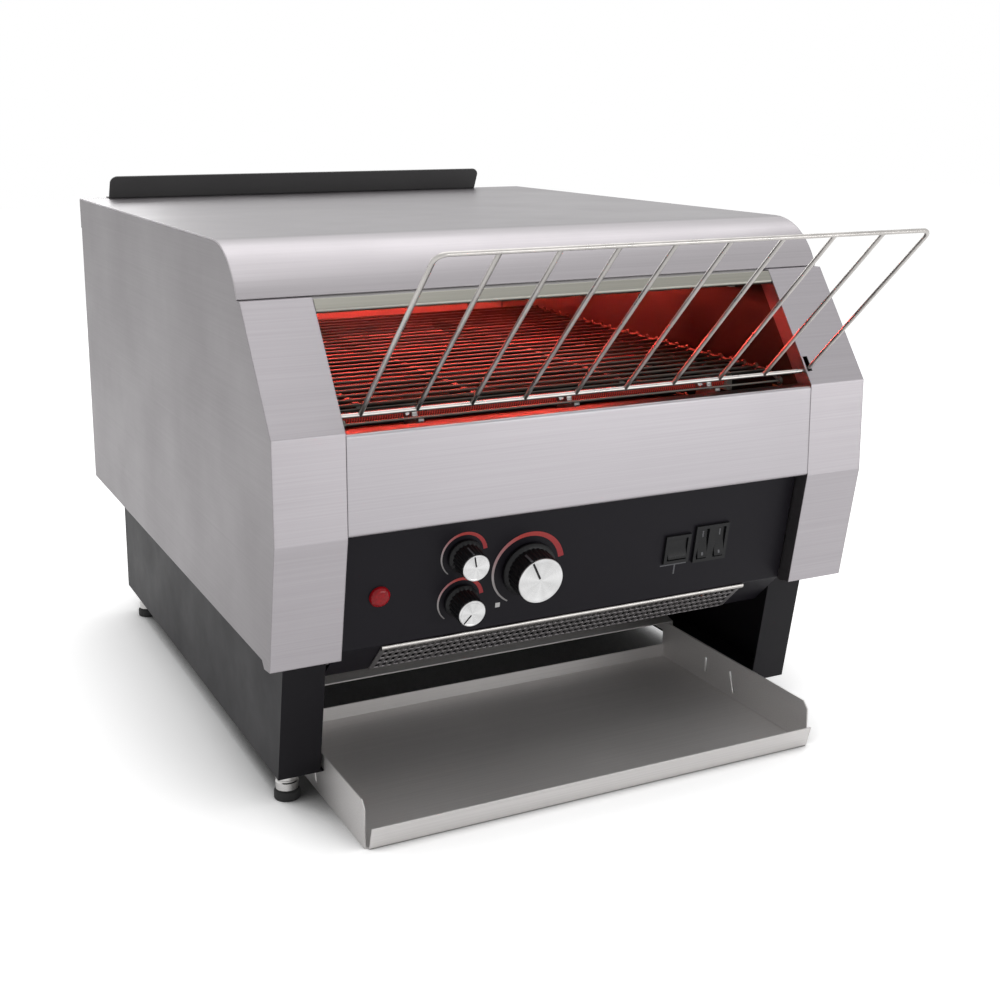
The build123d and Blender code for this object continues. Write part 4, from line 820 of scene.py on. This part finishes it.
def floor_material():
    """White to the eye, with a painted shadow where the object stands over it: ambient occlusion darkens both its
    colour and its glow.
    """
    mat = bpy.data.materials.new("floor")
    nt = emptied(mat)
    ao = nt.nodes.new("ShaderNodeAmbientOcclusion")
    ao.inputs["Distance"].default_value = 0.22
    ao.samples = 16
    diff = nt.nodes.new("ShaderNodeBsdfDiffuse")
    # Painted shadow: the floor's colour goes from 0.80 grey in the open to 0.12 grey where the object occludes
    # it.
    nt.links.new(ramp(nt, ao.outputs["AO"], [(0.08, grey(0.12)), (0.42, grey(0.80))]), diff.inputs["Color"])
    emit = nt.nodes.new("ShaderNodeEmission")
    emit.inputs["Color"].default_value = (1, 1, 1, 1)
    # Painted shadow: the glow that makes the floor white fades out where the object occludes it.
    glow_with_painted_shadow = ranged(nt, ao.outputs["AO"], 0.30, 0.74, 0.0, 0.72)
    nt.links.new(calc(nt, "MULTIPLY", ray_flag(nt), glow_with_painted_shadow), emit.inputs["Strength"])
    add = nt.nodes.new("ShaderNodeAddShader")
    nt.links.new(diff.outputs[0], add.inputs[0])
    nt.links.new(emit.outputs[0], add.inputs[1])
    out = nt.nodes.new("ShaderNodeOutputMaterial")
    nt.links.new(add.outputs[0], out.inputs["Surface"])
    return mat


floor.materials.append(floor_material())

world = bpy.data.worlds.new("studio")
bpy.context.scene.world = world
nt = emptied(world)
bg = nt.nodes.new("ShaderNodeBackground")
bg.inputs["Color"].default_value = (1, 1, 1, 1)
nt.links.new(ranged(nt, ray_flag(nt), 0.0, 1.0, 0.40, 1.0), bg.inputs["Strength"])
out = nt.nodes.new("ShaderNodeOutputWorld")
nt.links.new(bg.outputs[0], out.inputs["Surface"])


def area(name, loc, target, size, power):
    li = bpy.data.lights.new(name, "AREA")
    li.shape = "RECTANGLE"
    li.size, li.size_y = size
    li.energy = power
    o = bpy.data.objects.new(name, li)
    bpy.context.scene.collection.objects.link(o)
    o.location = loc
    o.rotation_euler = (Vector(target) - Vector(loc)).to_track_quat("-Z", "Y").to_euler()


area("front", (1.3, -2.6, 0.32), (0, -0.1, 0.3), (1.6, 0.6), 13)
area("ridge", (0.45, 0.70, 2.0), (0, -0.15, 0.35), (2.2, 1.1), 12)
area("back", (-0.1, 2.4, 0.95), (-0.1, 0.1, 0.4), (0.8, 0.5), 5)
area("top", (-0.1, -0.6, 2.6), (0, 0.0, 0.2), (2.0, 1.6), 9)

SENSOR = 36.0
PICTURE, FOCAL = 1000, 1458.7  # width and focal length of the photograph, in its pixels
DOWN, ASIDE = 11.54, 26.41  # degrees
camera = bpy.data.cameras.new("camera")
cam = bpy.data.objects.new("camera", camera)
bpy.context.scene.collection.objects.link(cam)
bpy.context.scene.camera = cam
camera.sensor_width = SENSOR
camera.lens = FOCAL * SENSOR / PICTURE
camera.shift_y = -0.1
cam.location = Vector((-499.0, -853.8 + BAND, 487.6)) * MM
cam.rotation_euler = (radians(90 - DOWN), 0, radians(-ASIDE))

bpy.context.scene.view_settings.view_transform = "Standard"
